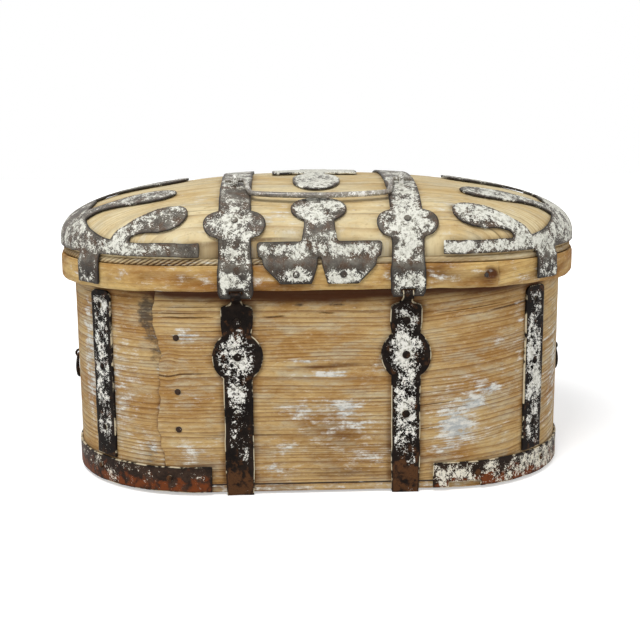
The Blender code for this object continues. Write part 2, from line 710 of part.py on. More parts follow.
def body_strap(name, xc, side, tongue):
    """Strap on the straight wall with a round boss and a return under the box."""
    half_boss = BOSS_HEIGHT / 2
    soft = PLATE_DROP / 6
    shoulder = PLATE_TOP - 3 * soft
    if tongue:
        tops = [(PLATE_TOP - soft, 0.8 * PLATE_HALF), (PLATE_TOP - 1.7 * soft, 0.95 * PLATE_HALF)]
        rows = tongue_rows(xc, tops[0][0])
    else:
        tops = [(PLATE_TOP, 0.65 * PLATE_HALF), (PLATE_TOP - soft, 0.88 * PLATE_HALF)]
        rows = []
    neck, below = BOSS_Z + 0.93 * half_boss, BOSS_Z - 0.96 * half_boss
    levels = tops + [(shoulder, PLATE_HALF), (0.4 * shoulder + 0.6 * neck, PLATE_HALF),
                     (0.15 * shoulder + 0.85 * neck, (PLATE_HALF + NECK_HALF) / 2), (neck, NECK_HALF)]
    levels += [(BOSS_Z + half_boss * d, BOSS_R * math.sqrt(1 - d * d))
               for d in (0.82, 0.6, 0.3, 0.0, -0.3, -0.6, -0.82)]
    levels += [(below, NECK_HALF), (0.93 * below + 0.07 * BOARD_Z0, NECK_HALF),
               (0.55 * below + 0.45 * BOARD_Z0, NECK_HALF), (0.2 * below + 0.8 * BOARD_Z0, NECK_HALF)]
    rows += [flat_row(xc, half, COLS, side * WD, z, (0, side, 0)) for z, half in levels]
    corner = flat_row(xc, FOOT_HALF, COLS, side * WD, BOARD_Z0, (0, side, -1))
    # the corner of the bend lies a gap away from the wall and from the board
    rows.append([(p, n * math.sqrt(2)) for p, n in corner])
    for share in (0.15, 0.57, 1.0):
        rows.append(flat_row(xc, FOOT_HALF, COLS, side * (WD - RETURN_LEN * share), BOARD_Z0, (0, 0, -1)))
    return plate(name, rows, IRON, FIT)


def corner_strap(name, end, side):
    """Upright strap on the round end, under a tab of the lid."""
    sx, middle = ENDS[end], side * CORNER[end]
    top, foot = RIM_Z0 - CORNER_GAP, BASE_Z1 + BASE_GAP
    soft = CORNER_GAP / 3
    levels = [(top, 0.55), (top - soft, 0.85), (top - 3 * soft, 1.0)]
    levels += [(top + (foot - top) * k, 1.0) for k in (0.2, 0.5, 0.8, 1.0)]
    rows = []
    for z, share in levels:
        spread = CORNER_HALF / WD * share
        rows.append([round_end(middle + spread * c, sx, z, WD) for c in (-1, -0.5, 0, 0.5, 1)])
    return plate(name, rows, IRON, LIFT)


def base_band(name, end, steps=40):
    """Band round the foot of one end, with a short arm along each side."""
    sx = ENDS[end]
    arm = abs(STRAP_X[end]) + NECK_HALF + BASE_ARM_GAP
    around = math.pi * WD
    stops = [END_X + around * i / steps for i in range(steps + 1)]
    stops = [arm] + [s for s in stops if arm < s < 2 * END_X + around - arm] + [2 * END_X + around - arm]
    rows = []
    for z in (BASE_Z1, BASE_Z0):
        row = []
        for s in stops:
            x, y = oval_at(s, WL, WD, 0)
            row.append(((sx * x, y, z), unit((sx * max(x - END_X, 0.0), y, 0.0))))
        rows.append(row)
    return plate(name, rows, RUST, LIFT)


# Handles.

def bail_staple(name, xc, turns_on):
    """Arched staple whose round opening is the bearing of one bail pin."""
    p, n = on_iron(xc, BAIL_Y)
    t = unit(np.cross([1.0, 0.0, 0.0], n))
    r = BAIL_WIRE + STAPLE_WIRE + STAPLE_PLAY
    arch = [p + n * BAIL_RISE - t * r * math.cos(a) + n * r * math.sin(a)
            for a in (math.pi * i / 8 for i in range(9))]
    path = [p - t * r, p - t * r + n * BAIL_RISE / 2] + arch + [p + t * r + n * BAIL_RISE / 2, p + t * r]
    return wire(name, path, STAPLE_WIRE, IRON, turns_on)


def bail_pin():
    """Middle of the line between the two staples' bearings."""
    spots = [on_iron(xc, BAIL_Y) for xc in STRAP_X.values()]
    return sum(p + n * BAIL_RISE for p, n in spots) / 2


def bail_handle(name, turns_on):
    """Bail lying towards the hinge side, its bar bowed away from the pins."""
    p = bail_pin()
    half = (STRAP_X["right"] - STRAP_X["left"]) / 2
    knee_y = p[1] - BAIL_ARM
    arm = np.array([0.0, -BAIL_ARM, dome_z(0.0, knee_y) + BAIL_CLEAR - p[2]])
    elbow = half - BAIL_SHOULDER
    side = [(half + BAIL_PIN, 0.0), (elbow, 0.0)]
    side += [(elbow - BAIL_SPLAY * k, t) for k, t in ((0.2, 0.02), (0.3, 0.1), (0.36, 0.3), (0.53, 0.65),
                                                      (0.63, 0.86), (0.76, 0.97), (1.0, 1.02))]
    side += [((elbow - BAIL_SPLAY) * k, t) for k, t in ((0.79, 1.05), (0.4, 1.09), (0.0, 1.1))]
    path = [p + np.array([-x, 0, 0]) + arm * t for x, t in side]
    path += [p + np.array([x, 0, 0]) + arm * t for x, t in reversed(side[:-1])]
    return wire(name, path, BAIL_WIRE, IRON, turns_on)


def ring_pin(sx):
    """Top of an end ring, where it hangs in its eye."""
    return np.array([sx * (WL + RING_WIRE + RING_STAND), 0.0, RING_Z - (EYE_PLAY - RING_REST)])


def ring_staple(name, sx):
    """Eye on the end wall that an end ring hangs in."""
    eye_r = RING_WIRE + EYE_WIRE + EYE_PLAY
    wall, centre = WL + FIT, WL + RING_WIRE + RING_STAND - RING_REST
    legs = (wall, (wall + centre) / 2)
    path = [(sx * x, 0, RING_Z + eye_r) for x in legs]
    for i in range(11):
        a = math.pi * i / 10
        path.append((sx * (centre + eye_r * math.sin(a)), 0, RING_Z + eye_r * math.cos(a)))
    path += [(sx * x, 0, RING_Z - eye_r) for x in reversed(legs)]
    return wire(name, path, EYE_WIRE, IRON)


def end_ring(name, sx, turns_on, steps=28):
    turns = [2 * math.pi * i / steps for i in range(steps)]
    path = [ring_pin(sx) + RING_R * np.array([0.0, math.sin(a), math.cos(a) - 1.0]) for a in turns]
    return wire(name, path, RING_WIRE, IRON, turns_on, closed=True)


clear_scene()

# Box.
board("bottom_board", oval(WL, WD), BOARD_Z0, BOARD_Z1)
wall_lap = END_X - WALL_LAP_BACK
bent_band("body_band", WL, WD, WALL_T, BOARD_Z1 + FIT, RIM_Z1, wall_lap, True)
strap_face = -(WD + FIT + IRON_T + FIT)
for side_name, x_strap in STRAP_X.items():
    body_strap("hinge_strap_" + side_name, x_strap, -1, True)
    body_strap("opening_strap_" + side_name, x_strap, 1, False)
    for part_name, z_nail in (("plate", PLATE_TOP - PLATE_NAIL_DROP), ("boss", BOSS_Z),
                              ("strap", BOSS_Z - STRAP_NAIL_DROP)):
        nail("hinge_nail_" + side_name + "_" + part_name, (x_strap, strap_face, z_nail), (0, -1, 0),
             STRAP_NAIL_R)
for side_name, sx in ENDS.items():
    base_band("base_band_" + side_name, side_name)
    corner_strap("corner_strap_hinge_" + side_name, side_name, -1)
    corner_strap("corner_strap_opening_" + side_name, side_name, 1)
    ring_staple("ring_staple_" + side_name, sx)
lap_nail = wall_lap + LAP_LENGTH - WALL_LAP_NAIL_BACK
x_nail, y_nail = oval_at(lap_nail, WL, WD, -FIT)
turn = (lap_nail - END_X) / WD
for part_name, height in LAP_NAIL_HEIGHTS.items():
    nail("lap_nail_" + part_name, (-x_nail, y_nail, BOARD_Z1 + height), (-math.sin(turn), -math.cos(turn), 0),
         LAP_NAIL_R)

# Lid, turning on the bars of its two straps.
lid_hinge = pivot("lid_hinge", (sum(STRAP_X.values()) / 2, HINGE_Y, HINGE_Z))
lid_top("lid_top", lid_hinge)
rim_lap = END_X - RIM_LAP_BACK
bent_band("rim_band", HL, HD, RIM_T, RIM_Z0, RIM_Z1, rim_lap, False, lid_hinge)
for side_name, x_strap in STRAP_X.items():
    lid_strap("lid_strap_" + side_name, x_strap, lid_hinge)
    bail_staple("bail_staple_" + side_name, x_strap, lid_hinge)
    nail("cross_nail_" + side_name, *on_iron(x_strap, CROSS_NAIL_UP - LOBE_Y), LID_NAIL_R, lid_hinge)
for side_name in ENDS:
    end_iron("end_iron_" + side_name, side_name, lid_hinge)
centre_iron("centre_iron", lid_hinge)
crown_iron("crown_iron", lid_hinge)
leaf_face = -(HD + LIFT + IRON_T + FIT)
leaf_middle = (LEAF_FOOT_HALF + NOTCH_FOOT_HALF) / 2
for side_name, sx in ENDS.items():
    foot = (CENTRE_X + sx * leaf_middle, leaf_face, RIM_Z1 - LEAF_NAIL_DROP)
    nail("leaf_nail_" + side_name, foot, (0, -1, 0), LID_NAIL_R, lid_hinge)
lap_nail = rim_lap + LAP_LENGTH - RIM_LAP_NAIL_BACK
x_nail, y_nail = oval_at(lap_nail, HL, HD, -FIT)
turn = (lap_nail - END_X) / HD
foot = (x_nail, y_nail, (RIM_Z0 + RIM_Z1) / 2)
nail("rim_lap_nail", foot, (math.sin(turn), -math.cos(turn), 0), LAP_NAIL_R, lid_hinge)

# Handles.
bail_handle("bail_handle", pivot("bail_swing", bail_pin()))
for side_name, sx in ENDS.items():
    end_ring("ring_" + side_name, sx, pivot("ring_swing_" + side_name, ring_pin(sx)))
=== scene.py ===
# %% [markdown]
# # An oval bentwood strongbox, dressed for its portrait
# The box is two bands of pine bent round an oval and nailed where their ends
# lap, a domed lid carved from thick board, and forged iron laid over both.
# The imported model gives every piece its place. This lesson makes the wood and
# the iron again with the wear of long use, and sets each new piece exactly
# where the measured one stands. Blender's noise vectors start from the clock
# unless they are given a seed, so one is set and every run makes the same box.

import json
import math

import bmesh
import bpy
import numpy as np
from mathutils import Matrix, Vector, kdtree, noise

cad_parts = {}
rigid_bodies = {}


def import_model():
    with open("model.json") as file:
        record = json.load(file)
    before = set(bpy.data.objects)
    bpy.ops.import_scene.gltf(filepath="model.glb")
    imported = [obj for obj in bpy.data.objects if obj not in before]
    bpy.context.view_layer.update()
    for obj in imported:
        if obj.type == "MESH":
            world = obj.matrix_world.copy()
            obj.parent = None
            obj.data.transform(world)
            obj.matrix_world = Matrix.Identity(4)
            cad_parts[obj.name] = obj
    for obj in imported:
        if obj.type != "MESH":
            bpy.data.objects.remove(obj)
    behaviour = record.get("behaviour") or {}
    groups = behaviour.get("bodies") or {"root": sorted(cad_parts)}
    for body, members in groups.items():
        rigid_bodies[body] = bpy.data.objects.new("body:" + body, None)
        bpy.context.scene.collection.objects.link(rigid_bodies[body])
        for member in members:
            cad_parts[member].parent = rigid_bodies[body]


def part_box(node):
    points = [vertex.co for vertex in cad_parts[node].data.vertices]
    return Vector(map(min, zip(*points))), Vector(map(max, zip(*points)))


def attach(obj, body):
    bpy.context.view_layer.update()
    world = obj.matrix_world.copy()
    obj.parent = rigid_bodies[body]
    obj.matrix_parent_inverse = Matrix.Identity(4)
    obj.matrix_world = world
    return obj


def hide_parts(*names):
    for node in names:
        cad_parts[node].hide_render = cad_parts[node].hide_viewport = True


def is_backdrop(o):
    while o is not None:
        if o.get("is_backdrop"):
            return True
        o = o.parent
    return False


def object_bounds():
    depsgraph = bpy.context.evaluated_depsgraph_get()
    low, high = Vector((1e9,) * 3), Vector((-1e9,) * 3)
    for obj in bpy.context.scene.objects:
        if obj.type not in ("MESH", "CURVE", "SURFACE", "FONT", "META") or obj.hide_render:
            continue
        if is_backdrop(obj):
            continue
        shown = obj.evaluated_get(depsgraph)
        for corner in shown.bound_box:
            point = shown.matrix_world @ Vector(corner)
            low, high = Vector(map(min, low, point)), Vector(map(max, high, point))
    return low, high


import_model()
noise.seed_set(11)
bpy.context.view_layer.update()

# %% [markdown]
# ## Sizes read from the frame
# Anything that a node's box can tell is read from it: the oval of the rim, of
# the wall and of the dome, and the heights where they meet. The curve of the
# dome can't be read from a box, so its rise and its fullness are written down.

# %% Ovals and heights
rim_low, rim_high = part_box("rim_band")
wall_low, wall_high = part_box("body_band")
dome_low, dome_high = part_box("lid_top")
board_low, board_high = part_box("bottom_board")
RIM_D, WALL_D, DOME_D = rim_high.y, wall_high.y, dome_high.y
STRAIGHT = rim_high.x - RIM_D
SEAT_Z, CROWN_Z = dome_low.z, dome_high.z
DOME_RISE, DOME_FULLNESS = 0.0767, 0.42
EDGE_Z = CROWN_Z - DOME_RISE
STRAP_X = {"left": -0.101, "right": 0.097}
SIDES = {"left": -1, "right": 1}
print("half depths: rim", round(RIM_D, 4), "wall", round(WALL_D, 4), "dome", round(DOME_D, 4))
print("straight half", round(STRAIGHT, 4), "lid from", round(SEAT_Z, 4), "to", round(CROWN_Z, 4))


# %% [markdown]
# ## Walking round the oval
# A bent band is easiest to think about as the straight board it once was. One
# helper turns a distance along the board into a place on the oval and the
# direction that faces out, and another gives the height and the facing of the
# dome above any place of the plan.

# %% Oval and dome
def around(depth):
    """Way round the oval of a given half depth."""
    return 4 * STRAIGHT + 2 * math.pi * depth


def on_oval(s, depth, out=0.0):
    """Place and outward direction at a distance s from the middle of the front, towards +X."""
    arc = math.pi * depth
    s = (s + STRAIGHT) % around(depth) - STRAIGHT
    if s <= STRAIGHT:
        foot, facing = Vector((s, 0, 0)), Vector((0, -1, 0))
    elif s <= STRAIGHT + arc:
        a = (s - STRAIGHT) / depth
        foot, facing = Vector((STRAIGHT, 0, 0)), Vector((math.sin(a), -math.cos(a), 0))
    elif s <= 3 * STRAIGHT + arc:
        foot, facing = Vector((2 * STRAIGHT + arc - s, 0, 0)), Vector((0, 1, 0))
    else:
        a = (s - 3 * STRAIGHT - arc) / depth
        foot, facing = Vector((-STRAIGHT, 0, 0)), Vector((-math.sin(a), math.cos(a), 0))
    return foot + facing * (depth + out), facing


def outwards(place):
    """Outward direction of the oval at a place of the plan."""
    past = math.copysign(max(abs(place.x) - STRAIGHT, 0.0), place.x)
    return Vector((past, place.y, 0.0)).normalized()


def fullness(x, y):
    """How far out a plan place lies on its ray to the foot of the dome."""
    x, y = abs(x), abs(y)
    if x * DOME_D <= STRAIGHT * y:
        return y / DOME_D
    rr = x * x + y * y
    root = math.sqrt(max(x * x * STRAIGHT ** 2 - rr * (STRAIGHT ** 2 - DOME_D ** 2), 0.0))
    return rr / (x * STRAIGHT + root)


def swell(q):
    """Share of the dome's rise that is left at a share q of the way to its foot."""
    return (1 - q * q) ** DOME_FULLNESS


def dome_z(x, y):
    return EDGE_Z + DOME_RISE * swell(min(fullness(x, y), 1.0))


def on_dome(x, y):
    """Place and outward direction on the dome."""
    h = 1e-5
    z = dome_z(x, y)
    rel = max((z - EDGE_Z) / DOME_RISE, 0.0)
    gx = (fullness(x + h, y) ** 2 - fullness(x - h, y) ** 2) / (2 * h)
    gy = (fullness(x, y + h) ** 2 - fullness(x, y - h) ** 2) / (2 * h)
    gz = rel ** (1 / DOME_FULLNESS - 1) / (DOME_FULLNESS * DOME_RISE)
    return Vector((x, y, z)), Vector((gx, gy, gz)).normalized()


def dome_reach(x):
    """Distances over the dome from its ridge to one side, with the plan depths and heights."""
    steps = 300
    ys = np.array([DOME_D * math.sin(math.pi / 2 * i / steps) for i in range(steps + 1)])
    zs = np.array([dome_z(x, y) for y in ys])
    return np.concatenate([[0.0], np.cumsum(np.hypot(np.diff(ys), np.diff(zs)))]), ys, zs


print("way round the wall", round(around(WALL_D), 4), "m")
print("way over the lid", round(2 * dome_reach(0)[0][-1], 4), "m")


# %% [markdown]
# ## Nodes in one line
# A finish is a small web of nodes. Each method of this class adds one node with
# its inputs filled in, either with a number or with the output of another node,
# so that a recipe reads from top to bottom.

# %% Node helpers
class Web:
    def __init__(self, owner):
        owner.use_nodes = True
        self.tree = owner.node_tree

    def fill(self, socket, value):
        if isinstance(value, bpy.types.NodeSocket):
            self.tree.links.new(value, socket)
        else:
            socket.default_value = value

    def put(self, kind, out=0, inputs=None, **settings):
        """Add a node, fill its inputs and return one of its outputs."""
        made = self.tree.nodes.new("ShaderNode" + kind)
        for key, value in settings.items():
            setattr(made, key, value)
        for key, value in (inputs or {}).items():
            self.fill(made.inputs[key], value)
        return made.outputs[out]

    def math(self, operation, a, b=0.0, c=0.0):
        return self.put("Math", operation=operation, inputs={0: a, 1: b, 2: c})

    def times(self, a, b):
        return self.math("MULTIPLY", a, b)

    def times_plus(self, a, b, c):
        return self.math("MULTIPLY_ADD", a, b, c)

    def minus(self, a, b):
        return self.math("SUBTRACT", a, b)

    def step(self, value, low, high):
        """0 before low, 1 past high, and a soft step between."""
        return self.put("MapRange", interpolation_type="SMOOTHSTEP",
                        inputs={"Value": value, "From Min": low, "From Max": high})

    def mix(self, share, below, above):
        """Colour above laid over colour below by a share."""
        return self.put("Mix", 2, data_type="RGBA", inputs={0: share, 6: below, 7: above})

    def coats(self, colour, layers):
        """Rows of (share, amount, colour) laid over a colour one after the other."""
        for share, amount, above in layers:
            colour = self.mix(self.times(share, amount), colour, above)
        return colour

    def mottle(self, where, scale, detail=3.0, rough=0.55, twist=0.0):
        return self.put("TexNoise", inputs={"Vector": where, "Scale": scale, "Detail": detail,
                                            "Roughness": rough, "Distortion": twist})

    def streaks(self, where, along, across, detail, rough=0.55):
        """Noise that is finer across the grain than along it."""
        scaled = self.put("Mapping", inputs={"Vector": where, "Scale": (along, across, 1.0)})
        return self.mottle(scaled, 1.0, detail, rough)

    def row_noise(self, value, scale, detail):
        return self.put("TexNoise", noise_dimensions="1D",
                        inputs={"W": value, "Scale": scale, "Detail": detail})

    def painted(self, name):
        """A value that was kept at the points of the piece."""
        return self.put("Attribute", 2, attribute_name=name)

    def dress(self, colour, rough, relief, strength, gloss):
        """Give the finish its colour, roughness, relief and gloss."""
        bump = self.put("Bump", inputs={"Height": relief, "Strength": strength,
                                        "Distance": 0.001})
        shader = self.tree.nodes["Principled BSDF"]
        for key, value in (("Base Color", colour), ("Roughness", rough), ("Normal", bump),
                           ("Specular IOR Level", gloss)):
            self.fill(shader.inputs[key], value)


def new_finish(name):
    mat = bpy.data.materials.new(name)
    return mat, Web(mat)


def rgb(*levels):
    """A colour picked in 0 to 255, as Blender's linear numbers."""
    return tuple(((c / 255 + 0.055) / 1.055) ** 2.4 if c > 10 else c / 255 / 12.92
                 for c in levels) + (1.0,)


print("node helpers ready, mid grey is", round(rgb(128, 128, 128)[0], 3))


# %% [markdown]
# ## Old pine
# Softwood grows a pale band in spring and a thin dark one in summer. A board
# sawn through those bands shows dark lines that fade in slowly and stop
# abruptly, which a saw-tooth of the distance across the grain gives. The lines
# wander, so noise stretched along the grain bends that distance first. Old
# paint stays in the hollows between the lines. Where it stays, where the wood
# is stained and where soot has gone in are painted on each piece as values at
# its points, and the finish breaks them up along the grain. The stain and soot
# values also carry painted shade: under the rim, in the cuts of the border,
# beside the irons, at the lap and in the gap of the base band.

# %% Finish of the pine
def old_pine(name, pale, deep, line, pitch, wander=0.008, line_share=0.8, haze=0.4,
             streaky=1.0, bump=0.16, bare=0.0, thin_line=4.0):
    mat, web = new_finish(name)
    grain = web.put("UVMap", uv_map="grain")
    across = web.put("SeparateXYZ", 1, inputs={0: grain})
    bent = web.times_plus(web.streaks(grain, 2.3, 7.0, 2.0), wander * 2, across)
    bent = web.times_plus(web.streaks(grain, 14.0, 60.0, 2.0), 0.0022, bent)
    crowd = web.row_noise(bent, 22.0, 1.0)
    ring = web.times_plus(bent, 1 / pitch, web.times(crowd, 8.0))
    tooth = web.math("FRACT", ring)
    late = web.times(web.math("POWER", tooth, thin_line), web.step(tooth, 1.0, 0.92))
    bold = web.row_noise(web.math("FLOOR", ring), 0.73, 2.0)
    fade = web.streaks(grain, 5.0, 36.0, 3.0)
    lines = web.times(late, web.step(web.math("ADD", bold, fade), 0.66, 1.04))
    fibre = web.streaks(grain, 36.0, 1100.0, 4.0, 0.75)
    hair = web.streaks(grain, 5.0, 380.0, 1.5, 0.5)
    check = web.streaks(grain, 3.2, 210.0, 2.0, 0.5)
    cloud = web.streaks(grain, 7.0, 20.0, 5.0, 0.66)
    grey = web.streaks(grain, 16.0, 46.0, 6.0, 0.72)
    speck = web.streaks(grain, 95.0, 280.0, 5.0, 0.75)
    streak = web.streaks(grain, 17.0, 430.0, 6.0, 0.72)
    blotch = web.streaks(grain, 52.0, 104.0, 7.0, 0.76)
    # The stain value browns the wood: real stain in places, and painted shade under the rim, in the
    # cuts of the border and beside the irons. The soot value greys it: real soot in places, and
    # painted shade at the lap and in the gap of the base band.
    stain = web.times_plus(web.minus(cloud, 0.5), 1.2, web.painted("stain"))
    soot = web.times_plus(web.minus(blotch, 0.5), 1.6, web.painted("soot"))

    wood = web.mix(web.step(cloud, 0.36, 0.64), pale, deep)
    wood = web.coats(wood, (
        (web.step(grey, 0.46, 0.64), haze, rgb(190, 180, 152)),
        (lines, line_share, line),
        (web.step(fibre, 0.50, 0.75), 0.34, line),
        (web.step(hair, 0.50, 0.66), line_share * 0.24, line),
        (web.step(check, 0.66, 0.72), line_share, rgb(70, 42, 18)),
        (web.step(speck, 0.52, 0.70), 0.42, line),
        (web.step(speck, 0.46, 0.32), 0.30, rgb(226, 212, 178)),
        # Brown of stain and painted shade, then grey of soot and painted shade.
        (web.step(stain, 0.10, 1.0), 0.95, rgb(70, 31, 2)),
        (web.step(soot, 0.30, 0.70), 0.82, rgb(50, 46, 44))))

    broken = web.times_plus(streak, 1.3 * streaky, web.times(blotch, 2.9 - 1.3 * streaky))
    ridges = web.math("MAXIMUM", late, web.step(hair, 0.52, 0.66))
    broken = web.minus(broken, web.times_plus(ridges, 0.28, 1.43 + bare))
    left = web.times_plus(web.painted("residue"), 0.60, broken)
    coat = web.step(left, 0.27, 0.34)
    thin = web.times(web.step(left, -0.02, 0.32), 0.46)
    tint = web.mix(web.step(blotch, 0.42, 0.60), rgb(168, 175, 178), rgb(222, 221, 213))
    wood = web.mix(web.math("MAXIMUM", web.times(coat, 0.9), thin), wood, tint)

    relief = web.times_plus(late, 0.6, web.times(fibre, 0.6))
    relief = web.times_plus(coat, 0.8, relief)
    web.dress(wood, web.times_plus(fibre, 0.2, 0.58), relief, bump, gloss=0.2)
    return mat


wall_pine = old_pine("wall_pine", rgb(198, 168, 114), rgb(168, 127, 70), rgb(100, 56, 22), 0.0046,
                     wander=0.006, line_share=0.85, haze=0.62, streaky=0.6, bump=0.24,
                     thin_line=2.6)
inner_pine = old_pine("inner_pine", rgb(208, 180, 134), rgb(190, 154, 104), rgb(136, 92, 46),
                      0.0050, haze=0.2, bare=2.0)
lid_pine = old_pine("lid_pine", rgb(224, 208, 166), rgb(204, 176, 122), rgb(142, 102, 54), 0.0066,
                    wander=0.011, line_share=0.58, haze=0.55, streaky=0.8, bump=0.14)
rim_pine = old_pine("rim_pine", rgb(212, 180, 116), rgb(160, 111, 48), rgb(104, 60, 18), 0.0080,
                    wander=0.014, line_share=0.45, haze=0.2, streaky=0.2, bump=0.18)
print("pine finishes", wall_pine.name, inner_pine.name, lid_pine.name, rim_pine.name)


# %% [markdown]
# ## Forged iron under flaking paint
# The irons were once painted white. The paint has flaked to islands, goes
# first from the rubbed edges, and leaves brown-black forge scale. Each piece
# carries two values at its points: how much paint is left there, and how far
# the point is from the iron's own outline. Coarse and fine noise around that
# amount decide where a flake survives, and the flake has a thickness that
# catches the light.

# %% Finish of the iron
def flaking_iron(name, scale, worn, rust, rust_share, edge_loss, edge_reach, lip, gloss,
                 low_rust=0.0, rust_top=0.050, hanging_shade=0.0, rough=0.40,
                 chalk=rgb(234, 232, 224)):
    mat, web = new_finish(name)
    where = web.put("TexCoord", 3)
    height = web.put("SeparateXYZ", 2, inputs={0: where})
    edge = web.painted("edge")
    broad = web.mottle(where, 55.0, 3.0, 0.6)
    flake = web.mottle(where, 230.0, 6.0, 0.76, 0.4)
    pit = web.mottle(where, 760.0, 2.0, 0.6)
    hammer = web.mottle(where, 95.0, 2.0, 0.5)
    level = web.painted("paint")
    for pattern, weight in ((broad, 1.5), (flake, 1.6), (pit, 0.95)):
        level = web.times_plus(web.minus(pattern, 0.5), weight, level)
    level = web.minus(level, web.times(web.step(edge, edge_reach, 0.0), edge_loss))
    coat = web.step(level, 0.48, 0.54)

    metal = web.mix(web.step(broad, 0.35, 0.7), scale, worn)
    rusting = web.times_plus(web.step(height, rust_top, 0.0), low_rust, rust_share)
    rusting = web.times_plus(flake, 0.6, web.minus(rusting, 0.75))
    rusting = web.times_plus(hammer, 0.9, rusting)
    metal = web.mix(web.step(rusting, 0.0, 0.22), metal, rust)
    metal = web.coats(metal, (
        (web.step(pit, 0.50, 0.68), 0.55, worn),
        # Lid irons turn near black where they hang down over the rim: painted shade below the fold.
        (web.step(height, 0.288, 0.266), hanging_shade, rgb(34, 30, 28)),
        # Near its outline an iron turns near black: partly its dark worn edge, partly painted
        # contact shade where it meets the wood.
        (web.step(edge, 0.0026, 0.0004), 0.80, rgb(24, 19, 17))))
    dusty = web.mix(web.step(flake, 0.40, 0.55), rgb(182, 180, 166), chalk)
    colour = web.mix(coat, metal, dusty)
    line = web.times(web.step(edge, 0.0014, 0.0005), web.step(broad, 0.47, 0.55))
    colour = web.coats(colour, ((line, lip, rgb(222, 208, 176)),))

    dull = web.times_plus(coat, 0.25, web.times_plus(pit, 0.2, rough))
    relief = web.times_plus(hammer, 0.9, web.times(pit, 0.45))
    relief = web.times_plus(coat, 0.5, relief)
    web.dress(colour, dull, relief, 0.5, gloss)
    return mat


lid_iron = flaking_iron("lid_iron", rgb(70, 64, 57), rgb(126, 121, 110), rgb(86, 67, 52),
                        rust_share=0.06, edge_loss=0.34, edge_reach=0.0055, lip=0.0, gloss=0.25,
                        hanging_shade=0.6, chalk=rgb(229, 228, 217))
wall_iron = flaking_iron("wall_iron", rgb(16, 12, 10), rgb(40, 31, 25), rgb(84, 55, 33),
                         rust_share=-0.04, edge_loss=0.42, edge_reach=0.009, lip=0.8, gloss=0.08,
                         low_rust=0.24, rust_top=0.060)
base_iron = flaking_iron("base_iron", rgb(32, 23, 18), rgb(66, 50, 40), rgb(114, 58, 26),
                         rust_share=-0.13, edge_loss=0.16, edge_reach=0.004, lip=0.8, gloss=0.10,
                         low_rust=0.36, rust_top=0.036, chalk=rgb(230, 224, 208))
handle_iron = flaking_iron("handle_iron", rgb(84, 76, 66), rgb(176, 168, 150), rgb(92, 66, 50),
                           rust_share=-0.04, edge_loss=0.0, edge_reach=0.004, lip=0.0, gloss=0.9,
                           rough=0.20)
print("iron finishes", lid_iron.name, wall_iron.name, base_iron.name, handle_iron.name)


# %% [markdown]
# ## Finishing a piece
# Every mesh ends the same way: it becomes an object at the origin, takes its
# finish, rides on a body of the model, hides the node it stands for, and gets
# smooth shading. Soft patches of paint, stain, soot and painted shade are added
# up from rows of a place, its reach and an amount. The longer lists are written
# in millimetres.

# %% Finishing helpers
def finish_piece(name, bm, body, finishes, nodes, smooth=True):
    mesh = bpy.data.meshes.new(name)
    bm.to_mesh(mesh)
    bm.free()
    for face in mesh.polygons:
        face.use_smooth = smooth
    for mat in finishes:
        mesh.materials.append(mat)
    piece = bpy.data.objects.new(name, mesh)
    bpy.context.scene.collection.objects.link(piece)
    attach(piece, body)
    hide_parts(*nodes)
    return piece


def clamp(value, low=0.0):
    return min(max(value, low), 1.0)


def bell(distance, reach):
    return math.exp(-(distance / reach) ** 2)


def fall(distance, reach):
    return math.exp(-distance / reach)


def in_metres(rows):
    """Rows of lengths in millimetres, each with an amount at its end."""
    return [(*(length / 1000 for length in row[:-1]), row[-1]) for row in rows]


def patches(rows, u, v):
    """Sum of soft patches (u, v, reach along, reach across, amount) at a place."""
    total = 0.0
    for pu, pv, ru, rv, amount in rows:
        d = ((u - pu) / ru) ** 2 + ((v - pv) / rv) ** 2
        if d < 9:
            total += amount * math.exp(-d)
    return total


def thicken(piece, thick, offset, inner=0):
    solid = piece.modifiers.new("board thickness", "SOLIDIFY")
    solid.thickness = thick
    solid.offset = offset
    solid.use_even_offset = True
    solid.material_offset = inner
    return solid


def round_edges(piece, width):
    edges = piece.modifiers.new("worn edges", "BEVEL")
    edges.width = width
    edges.segments = 2
    edges.profile = 0.5
    edges.limit_method = "ANGLE"
    edges.angle_limit = math.radians(40)


print("finishing helpers ready")

# %% [markdown]
# ## Wear and painted shade of the wall
# The wall is read as a flat board: the first number of a patch is a distance
# along it from the middle of the hinge side, the second a height. Old paint is
# left in some places, soot has gone into others and round the nails of the lap,
# and the wood is stained brown in places. The brown band under the rim and the
# brown behind and beside the straps are partly stain and partly painted shade.
# The dark patch in the rusted-through gap of the base band and a dark line at
# the foot of the lap's step are painted shade.

